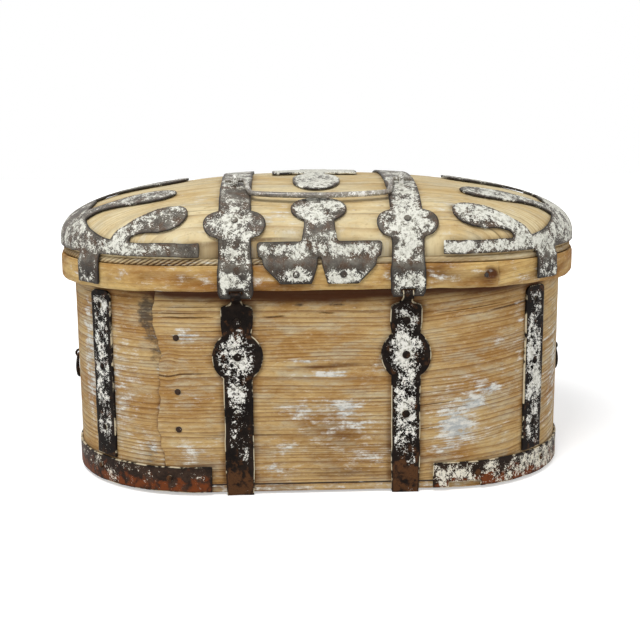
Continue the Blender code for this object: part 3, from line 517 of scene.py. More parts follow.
# %% Patches on the wall
RESIDUE = in_metres([
    (-160, 195, 15, 11, 0.80), (-176, 232, 10, 5, 0.55), (-160, 118, 22, 12, 0.42),
    (-156, 55, 30, 16, 0.55), (-212, 54, 16, 20, 0.40), (-310, 160, 22, 110, 0.64),
    (-255, 130, 40, 90, 0.50), (15, 78, 60, 36, 0.34), (6, 147, 34, 5, 0.75),
    (-18, 163, 30, 3, 0.70), (12, 112, 46, 6, 0.45), (45, 85, 30, 6, 0.40),
    (185, 130, 40, 22, 0.42), (140, 110, 20, 40, 0.20), (200, 70, 30, 20, 0.30),
    (158, 82, 22, 22, 1.10), (182, 108, 16, 9, 0.75), (202, 124, 14, 6, 0.60),
    (140, 52, 24, 10, 0.50), (243, 190, 10, 70, 0.45), (213, 185, 12, 14, 0.40),
    (52, 42, 26, 14, 0.50), (-63, 34, 13, 10, 0.62), (-44, 27, 15, 8, 0.48),
    (-46, 56, 18, 8, 0.55), (-32, 102, 24, 8, 0.55), (26, 102, 15, 10, 0.60),
    (66, 155, 13, 14, 0.45), (330, 130, 35, 100, 0.60), (560, 140, 60, 70, 0.40),
    (760, 80, 70, 30, 0.50), (900, 170, 60, 30, 0.45), (1060, 90, 50, 40, 0.50)])
# The patch low at 168 mm darkens the wood in the rusted-through gap of the base band with painted
# shade.
SOOT_AND_SHADE = in_metres([
    (-207, 222, 14, 26, 0.75), (-203, 176, 10, 26, 0.48), (-212, 48, 14, 24, 0.56),
    (-30, 231, 10, 3, 0.70), (16, 231, 12, 3, 0.70), (-68, 229, 6, 4, 0.65),
    (168, 10, 24, 7, 1.30), (700, 220, 20, 20, 0.4)])
# The first three rows and the last are a brown band under the rim, partly stain and partly painted
# shade from the rim.
STAIN_AND_SHADE = in_metres([
    (-4, 247, 130, 13, 1.5), (-180, 249, 70, 10, 0.95), (190, 249, 80, 10, 0.9),
    (-10, 156.5, 40, 2.2, 0.95), (35, 160, 34, 1.8, 0.75), (20, 24, 80, 8, 0.45),
    (10, 70, 75, 42, 0.42), (822, 243, 300, 12, 0.55)])
# Each strap gets a brown zone behind and beside it, partly stain and partly painted contact shade.
STAIN_AND_SHADE += [(xc, 0.120, 0.025, 0.150, 0.30) for xc in STRAP_X.values()]
LAP_NAILS = ("lap_nail_top", "lap_nail_middle", "lap_nail_low")


def middle_of(node):
    low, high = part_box(node)
    return (low + high) / 2


def along_wall(place):
    """Distance along the board of a place on the hinge side."""
    past = abs(place.x) - STRAIGHT
    if past <= 0:
        return place.x
    return math.copysign(STRAIGHT + math.atan2(past, -place.y) * WALL_D, place.x)


for node in LAP_NAILS:
    nail_at = middle_of(node)
    SOOT_AND_SHADE += [(along_wall(nail_at), nail_at.z, 0.0075, 0.0050, 0.62)]
print("wall patches: paint", len(RESIDUE), "soot", len(SOOT_AND_SHADE), "stain", len(STAIN_AND_SHADE))


# %% [markdown]
# ## Bending a board
# A grid is a board: its rows are heights and its columns are distances along
# the grain. Bending it is moving each point to its place on the oval. The flat
# place of each point is kept as a UV map called grain, which the finish reads.
# In that map the grain bows towards the ends and knots push its lines aside.

# %% Bent board
SEAM_GAP = 0.0004
KNOTS = in_metres([(-186, 158, 12, 16, 0.008), (20, 158, 60, 20, 0.007), (225, 60, 30, 20, 0.006),
                   (640, 170, 30, 30, 0.010), (980, 110, 40, 30, 0.010)])


def bow(s, z):
    """Shift of the grain lines: a slow tilt towards the ends, and knots."""
    shift = -0.11 * max(s - 0.08, 0.0) if s < 0.4 else -0.0352
    shift += 0.07 * max(-0.19 - s, 0.0)
    for knot in KNOTS:
        shift -= patches([knot], s, z) * (z - knot[1]) / knot[3]
    return shift


def tone_layers(bm):
    """Layers for paint residue, for stain and soot that also carry painted shade, and the map of
    the grain.
    """
    tones = {key: bm.verts.layers.float.new(key) for key in ("residue", "stain", "soot")}
    return tones, bm.loops.layers.uv.new("grain")


def map_grain(bm, grain, flat):
    for face in bm.faces:
        for loop in face.loops:
            loop[grain].uv = flat(face, loop.vert)


def bent_board(name, depth, seam, heights, count, relief, tone):
    """Board bent round an oval from its seam; relief gives (out, along, up) at each point."""
    bm = bmesh.new()
    tones, grain = tone_layers(bm)
    far = len(heights) - 1
    points = bmesh.ops.create_grid(bm, x_segments=count, y_segments=far, size=1.0)["verts"]
    flat = {}
    length = around(depth) - SEAM_GAP
    for point in points:
        s = seam + (point.co.x + 1) / 2 * length
        z = heights[round((point.co.y + 1) / 2 * far)]
        out, along, up = relief(s - seam, z, length)
        place, _ = on_oval(s + along, depth, out)
        point.co = (place.x, place.y, z + up)
        flat[point] = (s, z + bow(s, z))
        for key, value in tone(s, z).items():
            point[tones[key]] = value
    map_grain(bm, grain, lambda face, vert: flat[vert])
    bmesh.ops.recalc_face_normals(bm, faces=bm.faces)
    centres = ((face, face.calc_center_median()) for face in bm.faces)
    front = next(face for face, at in centres if abs(at.x) < 0.05 and at.y < 0)
    if front.normal.y > 0:
        bmesh.ops.reverse_faces(bm, faces=bm.faces)
    print(name, len(bm.faces), "faces,", round(length, 3), "m of board")
    return bm


print("grain moves", round(1000 * bow(-0.30, 0.15), 1), "mm at the left end")

# %% [markdown]
# ## The bent wall
# The wall is one thin board steamed and bent round the oval until its end laps
# over its beginning. Extra rows are put in where the board has split, and the
# points of a split are pushed in, so it holds a real shadow. At the lap the end
# of the board is ragged and stands a little proud.

# %% Wall
WALL_SEAM = -0.196
WALL_T, WALL_WEAR = 0.0078, 0.0007
ROW_STEP, SPLIT_DEPTH = 0.0034, 0.0034
SPLITS = [(-0.187, -0.126, 0.2170), (-0.070, -0.044, 0.2170), (-0.004, 0.013, 0.2205),
          (0.745, 0.815, 0.196), (0.900, 0.952, 0.121), (1.095, 1.140, 0.164)]


def wall_relief(run, z, length):
    s, back = WALL_SEAM + run, length - run
    ragged = 0.0110 * noise.noise((0.3, 7.1, z * 18)) + 0.0035 * noise.noise((4.0, 1.0, z * 90))
    along = ragged * fall(min(run, back), 0.05)
    fade = clamp((z - 0.040) / 0.02)
    lip = 0.00075 * fall(run, 0.020) * fade - 0.0009 * fall(back, 0.006) * fade
    wave = 0.00028 * noise.noise((s * 24, 3.3, z * 60))
    up = 0.0
    for start, end, height in SPLITS:
        if start < s < end and abs(z - height) < 0.003:
            taper = math.sin(math.pi * (s - start) / (end - start)) ** 0.5
            up = 0.0016 * noise.noise((s * 60, 9.2, height * 50))
            if abs(z - height) < 0.0006:
                wave -= SPLIT_DEPTH * taper
    return lip + wave, along, up


def wall_tone(s, z):
    turn = (s + 0.35) % around(WALL_D) - 0.35
    past = turn - WALL_SEAM
    ridge = bell(past, 0.010) if past >= 0 else 0.0
    # A dark line at the foot of the lap's step, beside the seam, is painted shade with a little
    # soot; the pale ridge past the seam is bare new wood.
    under = bell(past, 0.0040) if past < 0 else 0.0
    foot = 1.3 if z < wall_low.z + 0.001 else 0.0
    # Under the rim the pale paint is taken away, so that the painted shade there stays dark.
    shade = clamp((z - 0.228) / 0.010)
    paint = 1.35 * patches(RESIDUE, turn, z) - 0.32
    return {"residue": paint - 0.10 * ridge + 0.25 * under - 0.9 * shade,
            "stain": patches(STAIN_AND_SHADE, turn, z) - 0.20 * ridge + 0.50 * under + foot,
            "soot": patches(SOOT_AND_SHADE, turn, z) + 0.15 * under + foot}


wall_rows = [wall_low.z, wall_low.z + 0.0009, wall_low.z + 0.0018, wall_high.z]
wall_rows += list(np.arange(wall_low.z + 0.0036, wall_high.z - 0.001, ROW_STEP))
for _, _, height in SPLITS:
    wall_rows = [z for z in wall_rows if abs(z - height) > 0.0016]
    wall_rows += [height + step for step in (-0.0014, -0.0005, 0.0005, 0.0014)]
wall_rows = sorted(set(round(float(z), 5) for z in wall_rows))
bm = bent_board("bent_wall", WALL_D, WALL_SEAM, wall_rows, 440, wall_relief, wall_tone)
wall = finish_piece("bent_wall", bm, "box", [wall_pine, inner_pine], ["body_band"])
thicken(wall, WALL_T, -1.0, 1)
round_edges(wall, WALL_WEAR)

# %% [markdown]
# ## The rim of the lid
# The rim is bent in the same way from a stouter strip, and its lap is on the
# other side, beside a knot. Its corners are rounded by wear and its lower edge
# is chipped by a little noise. The top row is raised until it meets the lid, so
# that no light comes through the joint.

# %% Rim
RIM_SEAM = 0.204
RIM_T, RIM_WEAR, JOINT = 0.0074, 0.0009, 0.0003
RIM_RESIDUE = in_metres([
    (-239, 268, 10, 6, 0.7), (-160, 270, 16, 6, 0.6), (-128, 262, 18, 8, 0.55),
    (-190, 256, 30, 5, 0.45), (125, 266, 20, 10, 0.6), (170, 270, 22, 6, 0.55),
    (240, 258, 20, 6, 0.6), (300, 265, 30, 10, 0.5), (-320, 262, 30, 10, 0.5),
    (-75, 262, 12, 8, 0.6), (75, 262, 12, 8, 0.6)])
RIM_STAIN = in_metres([
    (-170, 266, 50, 6, 0.25), (-40, 253, 80, 4, 0.35), (150, 264, 60, 10, 0.60),
    (196, 267, 6, 6, 0.90), (190, 262, 18, 9, 0.18), (-250, 262, 40, 10, 0.30),
    (260, 262, 40, 10, 0.30)])


def rim_relief(run, z, length):
    s, back = RIM_SEAM + run, length - run
    low, high = z - rim_low.z, rim_high.z - z
    corner = -0.0016 * (bell(low, 0.0016) + bell(high, 0.0016))
    lip = 0.0011 * fall(back, 0.016) - 0.0006 * fall(run, 0.008)
    knot = math.hypot(back - 0.010, (low - 0.017) * 0.8)
    curl = 0.0019 * bell(knot - 0.0085, 0.0025) - 0.0012 * bell(knot, 0.005)
    wave = 0.00045 * noise.noise((s * 30, 5.0, z * 70)) - 0.0005
    chip = 0.0013 * noise.noise((s * 34, 1.7, 0.0)) * fall(low, 0.004)
    along = 0.006 * noise.noise((2.0, 0.4, z * 70)) * fall(min(run, back), 0.03)
    return corner + lip + curl + wave, along, chip


def rim_tone(s, z):
    turn = (s + 0.45) % around(RIM_D) - 0.45
    streaks = 0.16 * noise.noise((s * 9, 2.0, z * 30)) + 0.30 * noise.noise((s * 38, 6.0, z * 90))
    return {"residue": 0.85 * patches(RIM_RESIDUE, turn, z) - 0.27,
            "stain": patches(RIM_STAIN, turn, z) + 0.07 + 1.4 * streaks}


rim_rows = [float(z) for z in np.linspace(rim_low.z, SEAT_Z + JOINT, 17)]
bm = bent_board("bent_rim", RIM_D, RIM_SEAM, rim_rows, 620, rim_relief, rim_tone)
rim = finish_piece("bent_rim", bm, "lid", [rim_pine, inner_pine], ["rim_band"])
thicken(rim, RIM_T, -1.0, 1)
round_edges(rim, RIM_WEAR)

# %% [markdown]
# ## The domed lid
# The lid is a thick board hewn to a dome and hollowed underneath. A ring of
# points laid on the oval is extruded again and again: up over the dome with a
# smaller ring each time until it closes at the crown, and from the same foot
# inwards and up the hollow. The foot is set back a little for the carved
# border that runs round it.

# %% Lid
BORDER_H = 0.0080
BORDER_TOP = SEAT_Z + BORDER_H
FOOT_BACK, OVERHANG, SINK = 0.0022, 0.0020, 0.0001
HOLLOW_D, ROOF = RIM_D - 0.026, CROWN_Z - 0.018 - SEAT_Z
LID_RESIDUE = in_metres([(-140, -120, 30, 20, 0.25), (160, -150, 40, 12, 0.45),
                         (-50, -165, 30, 10, 0.4)])
LID_STAIN_AND_SHADE = in_metres([
    (165, -150, 22, 7, 0.80), (190, -160, 30, 8, 0.45), (45, -130, 30, 4, 0.50),
    (20, -30, 50, 6, 0.28), (150, -20, 30, 6, 0.28), (-140, -20, 40, 6, 0.22),
    (-4, -150, 42, 28, 0.14), (-4, -174, 80, 10, 0.14)])
# Along each strap the wood is browned, partly stain and partly painted shade beside the iron.
LID_STAIN_AND_SHADE += [(xc, 0.0, 0.026, 0.30, 0.30) for xc in STRAP_X.values()]


def oval_ring(bm, count, depth, inset, z, filled):
    """Circle of points moved onto an oval."""
    ring = bmesh.ops.create_circle(bm, cap_ends=filled, segments=count, radius=1.0)["verts"]
    for point in ring:
        turn = math.atan2(point.co.y, point.co.x) / (2 * math.pi)
        place, _ = on_oval(turn * around(depth), depth, -inset)
        point.co = (place.x, place.y, z)


def grow_ring(bm, edges, move):
    """Extrude a ring of edges and move its new points; returns the new ring."""
    geom = bmesh.ops.extrude_edge_only(bm, edges=edges)["geom"]
    for point in (g for g in geom if isinstance(g, bmesh.types.BMVert)):
        point.co = move(point.co)
    return [g for g in geom if isinstance(g, bmesh.types.BMEdge)]


def spread(p, ratio, z):
    return Vector((p.x * ratio, p.y * ratio, z))


def close_dome(bm, ring, steps, low, rise):
    """Grow a ring up a dome in steps and close it at the crown."""
    q_before = 1.0
    for i in range(1, steps - 1):
        q = math.cos(math.pi / 2 * i / steps)
        ring = grow_ring(bm, ring, lambda p: spread(p, q / q_before, low + rise * swell(q)))
        q_before = q
    last = list({v for e in ring for v in e.verts})
    bmesh.ops.pointmerge(bm, verts=last, merge_co=(0, 0, low + rise))


bm = bmesh.new()
oval_ring(bm, 560, DOME_D, FOOT_BACK, SEAT_Z + SINK, False)
foot_edges = list(bm.edges)
ring = grow_ring(bm, foot_edges, lambda p: spread(p, 1, BORDER_TOP))
ring = grow_ring(bm, ring, lambda p: spread(p, 1 + OVERHANG / p.xy.length, BORDER_TOP + 0.0008))
ring = grow_ring(bm, ring, lambda p: spread(p, 1, EDGE_Z))
close_dome(bm, ring, 90, EDGE_Z - SINK, DOME_RISE)
ring = grow_ring(bm, foot_edges, lambda p: p - outwards(p) * (DOME_D - FOOT_BACK - HOLLOW_D))
close_dome(bm, ring, 26, SEAT_Z, ROOF)
bmesh.ops.recalc_face_normals(bm, faces=bm.faces)
tones, grain = tone_layers(bm)
for point in bm.verts:
    if point.co.z > EDGE_Z:
        point.co.z += 0.0004 * noise.noise((point.co.x * 9, point.co.y * 22, 0.5)) - 0.0004
    x, y, z = point.co
    point[tones["residue"]] = patches(LID_RESIDUE, x, y) - 0.15
    point[tones["stain"]] = patches(LID_STAIN_AND_SHADE, x, y) + 0.20 * fall(max(z - EDGE_Z, 0), 0.006)
map_grain(bm, grain, lambda face, vert: (vert.co.x, vert.co.y * 1.1 + 0.4))
print("lid", len(bm.faces), "faces")
lid = finish_piece("domed_lid", bm, "lid", [lid_pine], ["lid_top"])

# %% [markdown]
# ## The carved border
# Round the foot of the dome runs a worn border of slanting cuts, like a laid
# rope. It is a narrow grid bent round the oval with enough columns for each
# cut, and a slanting wave pushes the cuts in. A slow noise wears the border
# down in places.

# %% Carved border
CUTS, SLANT = 216, 1.9
BORDER_SEAM, BORDER_T, BORDER_LIFT = 0.8, 0.0010, 0.0004


def border_cut(run, z, length):
    """How much is left of the border: 1 on a strand, 0 in the bottom of a cut."""
    phase = run / length * CUTS - (z - SEAT_Z) * SLANT * CUTS / length
    s = (run + BORDER_SEAM + 0.45) % around(DOME_D) - 0.45
    wear = 0.42 + 0.3 * noise.noise((run * 9, 6.0, 1.0))
    wear += 0.5 * math.exp(-((s + 0.19) / 0.060) ** 4) - 0.4 * math.exp(-((s - 0.15) / 0.16) ** 4)
    shake = 0.12 * noise.noise((run * 160, 2.0, 4.0))
    groove = (0.5 - 0.5 * math.sin(2 * math.pi * (phase + shake))) ** 1.8
    return 1 - clamp(wear, 0.08) * groove


def border_relief(run, z, length):
    crown = 1 - (2 * (z - SEAT_Z) / BORDER_H - 1) ** 6
    return -0.0019 + 0.0022 * crown * border_cut(run, z, length), 0.0, 0.0


def border_tone(s, z):
    left = border_cut(s - BORDER_SEAM, z, around(DOME_D) - SEAM_GAP)
    # The stain value browns the whole border and darkens the bottoms of its cuts further with
    # painted shade.
    return {"residue": 0.25 * left + 0.5 * noise.noise((s * 8, 3.0, 0.0)) - 0.3,
            "stain": 0.95 - 0.55 * left}


border_rows = [SEAT_Z + BORDER_LIFT + (BORDER_H - BORDER_LIFT) * k / 7 for k in range(8)]
bm = bent_board("carved_border", DOME_D, BORDER_SEAM, border_rows, 2600, border_relief,
                border_tone)
border = finish_piece("carved_border", bm, "lid", [lid_pine], ["lid_top"])
thicken(border, BORDER_T, -1.0)

# %% [markdown]
# ## The bottom board
# The bottom is a flat oval board. A ring on the oval is filled, extruded by the
# board's thickness and its corners are bevelled.

# %% Bottom board
BOARD_WEAR = 0.0012
bm = bmesh.new()
oval_ring(bm, 260, WALL_D, 0.0002, board_low.z, True)
made = bmesh.ops.extrude_face_region(bm, geom=list(bm.faces))["geom"]
top = [g for g in made if isinstance(g, bmesh.types.BMVert)]
bmesh.ops.translate(bm, verts=top, vec=(0, 0, board_high.z - board_low.z))
bmesh.ops.recalc_face_normals(bm, faces=bm.faces)
corner = [e for e in bm.edges if e.calc_face_angle(0) > 1.0]
bmesh.ops.bevel(bm, geom=corner, offset=BOARD_WEAR, segments=2, profile=0.5, affect="EDGES",
                material=-1)
tones, grain = tone_layers(bm)
for point in bm.verts:
    point[tones["stain"]] = 0.35
    point[tones["residue"]] = 0.2
map_grain(bm, grain, lambda face, vert: (vert.co.x, vert.co.z if abs(face.normal.z) < 0.5
                                         else vert.co.y))
board = finish_piece("bottom_board_worn", bm, "box", [wall_pine], ["bottom_board"],
                     smooth=False)
print("bottom board", len(board.data.polygons), "faces")


# %% [markdown]
# ## Laying iron on wood
# A strap is a sheet of iron that follows what it lies on. It starts as a grid
# whose rows run across the strap. Each row says where its points lie and which
# way faces out, the grid is moved there, and a Solidify modifier gives it the
# thickness of the bar. A little noise makes the hammered face uneven and the
# outline less than straight.

# %% Rows and grids
IRON_T, LIFT, FIT = 0.003, 0.0005, 0.0003


def columns(count):
    return [2 * k / count - 1 for k in range(count + 1)]


def flat_row(xc, half, cols, y, z, facing):
    facing = Vector(facing).normalized()
    return [(Vector((xc + half * c, y, z)), facing) for c in cols]


def dome_row(xc, half, cols, y):
    return [on_dome(xc + half * c, y) for c in cols]


def refine(rows, step=0.004):
    """Rows put in between until no two are further apart than a step."""
    dense = [rows[0]]
    for before, after in zip(rows, rows[1:]):
        gap = max((a[0] - b[0]).length for a, b in zip(after, before))
        count = max(1, math.ceil(gap / step))
        for share in (k / count for k in range(1, count + 1)):
            dense.append([(b[0].lerp(a[0], share), b[1].lerp(a[1], share).normalized())
                          for b, a in zip(before, after)])
    return dense


def lay_grid(bm, rows, gap):
    """Grid laid along rows of (place, facing), a gap above the wood and facing out."""
    wide, far = len(rows[0]) - 1, len(rows) - 1
    points = bmesh.ops.create_grid(bm, x_segments=wide, y_segments=far, size=1.0)["verts"]
    facing = {}
    for point in points:
        row = rows[round((point.co.y + 1) / 2 * far)]
        place, out = row[round((point.co.x + 1) / 2 * wide)]
        shift = noise.noise_vector(place * 48.0) * 0.0007
        shift -= out * shift.dot(out)
        lump = 0.0 if out.z < -0.5 else max(noise.noise(place * 70.0), 0.0) * 0.00022
        point.co = place + shift + out * (gap + lump)
        facing[point] = out
    faces = list({f for p in points for f in p.link_faces})
    bmesh.ops.recalc_face_normals(bm, faces=faces)
    if sum(f.normal.dot(facing[f.verts[0]]) for f in faces) < 0:
        bmesh.ops.reverse_faces(bm, faces=faces)
    return faces


print("rows and grids ready, a strap is", 1000 * IRON_T, "mm thick")

# %% [markdown]
# ## Forging a strap
# The finish needs two values at each point of an iron: its distance from the
# iron's outline, which a search tree finds, and the share of paint left there.
# Where a bar is drawn out thinner, its points also carry a share of thickness.

# %% Forged strap
IRON_WEAR = 0.0006


def search_tree(places):
    tree = kdtree.KDTree(len(places))
    for i, place in enumerate(places):
        tree.insert(place, i)
    tree.balance()
    return tree


def outline_distance(bm, outline):
    """Write each point's distance from the nearest point of the outline."""
    tree = search_tree(outline)
    edge = bm.verts.layers.float.new("edge")
    for point in bm.verts:
        point[edge] = tree.find(point.co)[2]


def paint_points(bm, base, places):
    """Share of paint at each point: a base and soft round patches (x, y, z, radius, amount)."""
    paint = bm.verts.layers.float.new("paint")
    for point in bm.verts:
        point[paint] = base + sum(amount * bell((point.co - Vector((x, y, z))).length, radius)
                                  for x, y, z, radius, amount in places)


def worn(node):
    """Name of the piece that stands for an iron, with its wear as the third word."""
    words = node.split("_")
    return "_".join(words[:2] + ["worn"] + words[2:])


def forge_strap(node, rows, finish, base, places, body="box", gap=LIFT,
                hole=None, thinner=None):
    bm = bmesh.new()
    weights = bm.verts.layers.deform.verify()
    lay_grid(bm, rows, gap)
    if hole:
        opened = [f for f in bm.faces if hole(f.calc_center_median())]
        bmesh.ops.delete(bm, geom=opened, context="FACES")
    outline_distance(bm, [p.co.copy() for p in bm.verts if p.is_boundary])
    paint_points(bm, base, places)
    for point in bm.verts:
        point[weights][0] = thinner(point.co) if thinner else 1.0
    piece = finish_piece(worn(node), bm, body, [finish], [node])
    piece.vertex_groups.new(name="thickness")
    thicken(piece, IRON_T - FIT, 1.0).vertex_group = "thickness"
    round_edges(piece, IRON_WEAR)
    print(piece.name, len(piece.data.polygons), "faces")


print("strap forge ready, edges worn by", 1000 * IRON_WEAR, "mm")

# %% [markdown]
# ## Straps over the lid
# Two straps cross the lid from side to side, each with a pair of round lobes
# low on either slope. At the hinge side the strap turns down over the rim, and
# a slot pierced in its end leaves a small bar: that bar is the hinge pin.

# %% Lid straps
STRAP_HALF, LOBE_R, TIP_HALF = 0.0185, 0.017, 0.013
HINGE_Y, HINGE_Z = -0.188, 0.244196
BAR_HALF, LOOP_R, TONGUE_T = 0.00225, 0.0032042, 0.002
SLOT_TOP = HINGE_Z + LOOP_R + TONGUE_T + 0.0011
SLOT_C = 0.0074 / STRAP_HALF
STRAP_COLS = [-1.0, -0.92, -0.7, -0.55, -SLOT_C, -0.14, 0.14, SLOT_C, 0.55, 0.7, 0.92, 1.0]
HEAD_SHARES = (1.02, 1.06, 1.1, 1.1, 1.06, 0.93)


def over_rim(side, lows):
    """Rows (y, z, facing) of an iron that folds over the rim and ends at some heights."""
    mid = EDGE_Z - (EDGE_Z - SEAT_Z) / 2
    rows = [(side * DOME_D, mid, (0, side, 0.15)), (side * RIM_D, rim_high.z, (0, side, 0.6))]
    return rows + [(side * RIM_D, z, (0, side, 0)) for z in (rim_high.z - 0.0048, *lows)]


def far_end(xc, half, cols):
    tip = rim_low.z + 0.004
    rows = over_rim(1, (tip + 0.008, tip + 0.002, tip))
    halves = [half] * (len(rows) - 2) + [half * 0.8 + TIP_HALF * 0.2, TIP_HALF]
    return [flat_row(xc, w, cols, *row) for row, w in zip(reversed(rows), reversed(halves))]


def lid_strap_rows(xc):
    s, ys, _ = dome_reach(xc)
    lobe = float(np.interp(DOME_D - 0.0085, ys, s))
    stations = list(np.arange(0.0, s[-1], 0.0032)) + [float(s[-1])]

    def row(k, side):
        d = min(abs(k - lobe) / LOBE_R, 1.0)
        half = STRAP_HALF + LOBE_R * math.sqrt(1 - d * d)
        return dome_row(xc, half, STRAP_COLS, side * float(np.interp(k, s, ys)))

    rows = refine(far_end(xc, STRAP_HALF, STRAP_COLS) + [row(stations[-1], 1)])
    rows += [row(k, 1) for k in reversed(stations[:-1])]
    rows += [row(k, -1) for k in stations[1:]]
    ends = over_rim(-1, (SLOT_TOP, HINGE_Z + BAR_HALF, HINGE_Z - BAR_HALF))
    head = [flat_row(xc, STRAP_HALF * share, STRAP_COLS, *at)
            for at, share in zip(ends, HEAD_SHARES)]
    return rows + refine([rows[-1]] + head)[1:]


def slot_at(xc):
    return lambda p: (abs(p.x - xc) < 0.0073 and HINGE_Z + BAR_HALF < p.z < SLOT_TOP
                      and p.y < -0.17)


for side, xc in STRAP_X.items():
    right = side == "right"
    # On the hinge side more paint on the bend above the rim makes a white band, a painted
    # highlight.
    places = [(xc, -0.172, 0.322, 0.026, 0.10), (xc, -0.183, 0.292, 0.007, 0.25),
              (xc, -0.130, 0.358, 0.026, 0.14 if right else -0.24),
              (xc, -0.187, 0.262, 0.012, 0.05), (xc, -0.188, 0.247, 0.008, -0.25),
              (xc, -0.08, 0.372, 0.03, 0.14)]
    # A row of bare spots just below the rim's top edge is painted shade under the fold.
    places += [(xc + 0.008 * k, -0.187, 0.2765, 0.005, -0.4) for k in range(-2, 3)]
    forge_strap("lid_strap_" + side, lid_strap_rows(xc), lid_iron, 0.47 if right else 0.48, places,
                body="lid", hole=slot_at(xc))

# %% [markdown]
# ## Straps on the wall
# Each strap on the wall has a plate, a round boss and a tail that turns under
# the bottom. On the hinge side its top is drawn out to a narrow tongue and
# looped round the bar of the lid strap, which makes the hinge.

# %% Wall straps
PLATE_HALF, NECK_HALF, FOOT_HALF, TONGUE_HALF = 0.0187, 0.0172, 0.0160, 0.006
BOSS_R, BOSS_HALF = 0.030, 0.0305
PLATE_TOP = rim_low.z - 0.0165
BOSS_Z = PLATE_TOP - 0.0635
STRAP_NAILS = (PLATE_TOP - 0.0225, BOSS_Z, BOSS_Z - 0.072)
FOOT_REACH = 0.042
WALL_COLS = columns(12)
LOOP_STEPS, LOOP_TURN = 28, math.radians(285)
# From the loop to the plate: share of the way in, share of the way down, flare, facing.
TONGUE_BEND = ((0.36, 0.21, 1.0, (0, -0.42, -0.91)), (0.69, 0.50, 1.08, (0, -0.5, -0.87)),
               (0.90, 0.71, 1.3, (0, -0.72, -0.69)), (0.99, 0.88, 1.75, (0, -0.95, -0.3)))


def tongue_rows(xc, plate_z):
    rows = []
    for i in range(LOOP_STEPS, -1, -1):
        a = LOOP_TURN * i / LOOP_STEPS
        out = Vector((0.0, -math.sin(a), -math.cos(a)))
        place = Vector((xc, HINGE_Y, HINGE_Z)) + out * (LOOP_R - FIT)
        rows.append(flat_row(xc, TONGUE_HALF, WALL_COLS, place.y, place.z, out))
    z0 = HINGE_Z - (LOOP_R - FIT)
    for u, v, flare, facing in TONGUE_BEND:
        y, z = HINGE_Y + (-WALL_D - HINGE_Y) * u, z0 + (plate_z - z0) * v
        rows.append(flat_row(xc, TONGUE_HALF * flare, WALL_COLS, y, z, facing))
    return rows


def wall_strap_rows(xc, side):
    soft = 0.0165 / 6
    if side < 0:
        levels = [(PLATE_TOP - soft, 0.8 * PLATE_HALF),
                  (PLATE_TOP - 1.7 * soft, 0.95 * PLATE_HALF)]
        rows = tongue_rows(xc, levels[0][0])
    else:
        levels = [(PLATE_TOP, 0.65 * PLATE_HALF), (PLATE_TOP - soft, 0.88 * PLATE_HALF)]
        rows = []
    shoulder = PLATE_TOP - 3 * soft
    neck, below = BOSS_Z + 0.93 * BOSS_HALF, BOSS_Z - 0.96 * BOSS_HALF
    levels += [(shoulder, PLATE_HALF), (0.4 * shoulder + 0.6 * neck, PLATE_HALF),
               (0.15 * shoulder + 0.85 * neck, (PLATE_HALF + NECK_HALF) / 2), (neck, NECK_HALF)]
    levels += [(BOSS_Z + BOSS_HALF * d, BOSS_R * math.sqrt(1 - d * d))
               for d in np.cos(np.linspace(0.60, math.pi - 0.60, 21))]
    levels += [(below + (board_low.z - below) * share, NECK_HALF) for share in (0.0, 0.07, 0.8)]
    rows += [flat_row(xc, half, WALL_COLS, side * WALL_D, float(z), (0, side, 0))
             for z, half in levels]
    rows.append(flat_row(xc, FOOT_HALF, WALL_COLS, side * (WALL_D + FIT), board_low.z - FIT,
                         (0, side, -1)))
    rows += [flat_row(xc, FOOT_HALF, WALL_COLS, side * (WALL_D - FOOT_REACH * share),
                      board_low.z, (0, 0, -1)) for share in (0.15, 0.57, 1.0)]
    return refine(rows, 0.0035)


def drawn_out(p):
    """Share of the bar's thickness: the tongue is drawn out thinner, and the foot is worn."""
    if p.z < board_low.z + 0.003:
        return 0.84
    return 1.0 - clamp((p.z - PLATE_TOP + 0.003) / 0.006) * 0.34


face_y, tail = -(WALL_D + IRON_T), BOSS_Z - 0.045
for side, xc in STRAP_X.items():
    left = side == "left"
    # The top of each hinge plate, under the overhang of the rim, is left mostly bare and black:
    # partly bare iron, partly painted shade from the rim.
    places = [(xc, face_y, PLATE_TOP - 0.008, 0.020, -0.50 if left else -0.14),
              (xc - 0.010 * left, face_y, BOSS_Z + 0.003, 0.020, 0.28),
              (xc + 0.024, face_y, BOSS_Z - 0.004, 0.012, -0.25),
              (xc - 0.027, face_y, BOSS_Z, 0.008, -0.10),
              (xc, face_y, tail, 0.020, 0.18 if left else 0.16),
              (xc, face_y, tail - 0.040, 0.022, -0.10 if left else 0.20),
              (xc, face_y, 0.022, 0.026, -0.32), (xc, HINGE_Y, HINGE_Z, 0.012, -0.05)]
    places += [(xc, face_y, z, 0.0085, 0.16) for z in STRAP_NAILS]
    forge_strap("hinge_strap_" + side, wall_strap_rows(xc, -1), wall_iron, 0.33 if left else 0.39,
                places, gap=FIT, thinner=drawn_out)
    places = [(xc, -face_y, BOSS_Z, 0.030, 0.20), (xc, -face_y, 0.030, 0.030, -0.3)]
    forge_strap("opening_strap_" + side, wall_strap_rows(xc, 1), wall_iron, 0.38, places, gap=FIT,
                thinner=drawn_out)

# %% [markdown]
# ## Irons on the round ends
# Four upright straps stand on the round ends, and a rusty band runs round the
# foot of each end. Both are laid on the oval by distance, so they bend with it.
# Low on the right of the hinge side the band has rusted away.

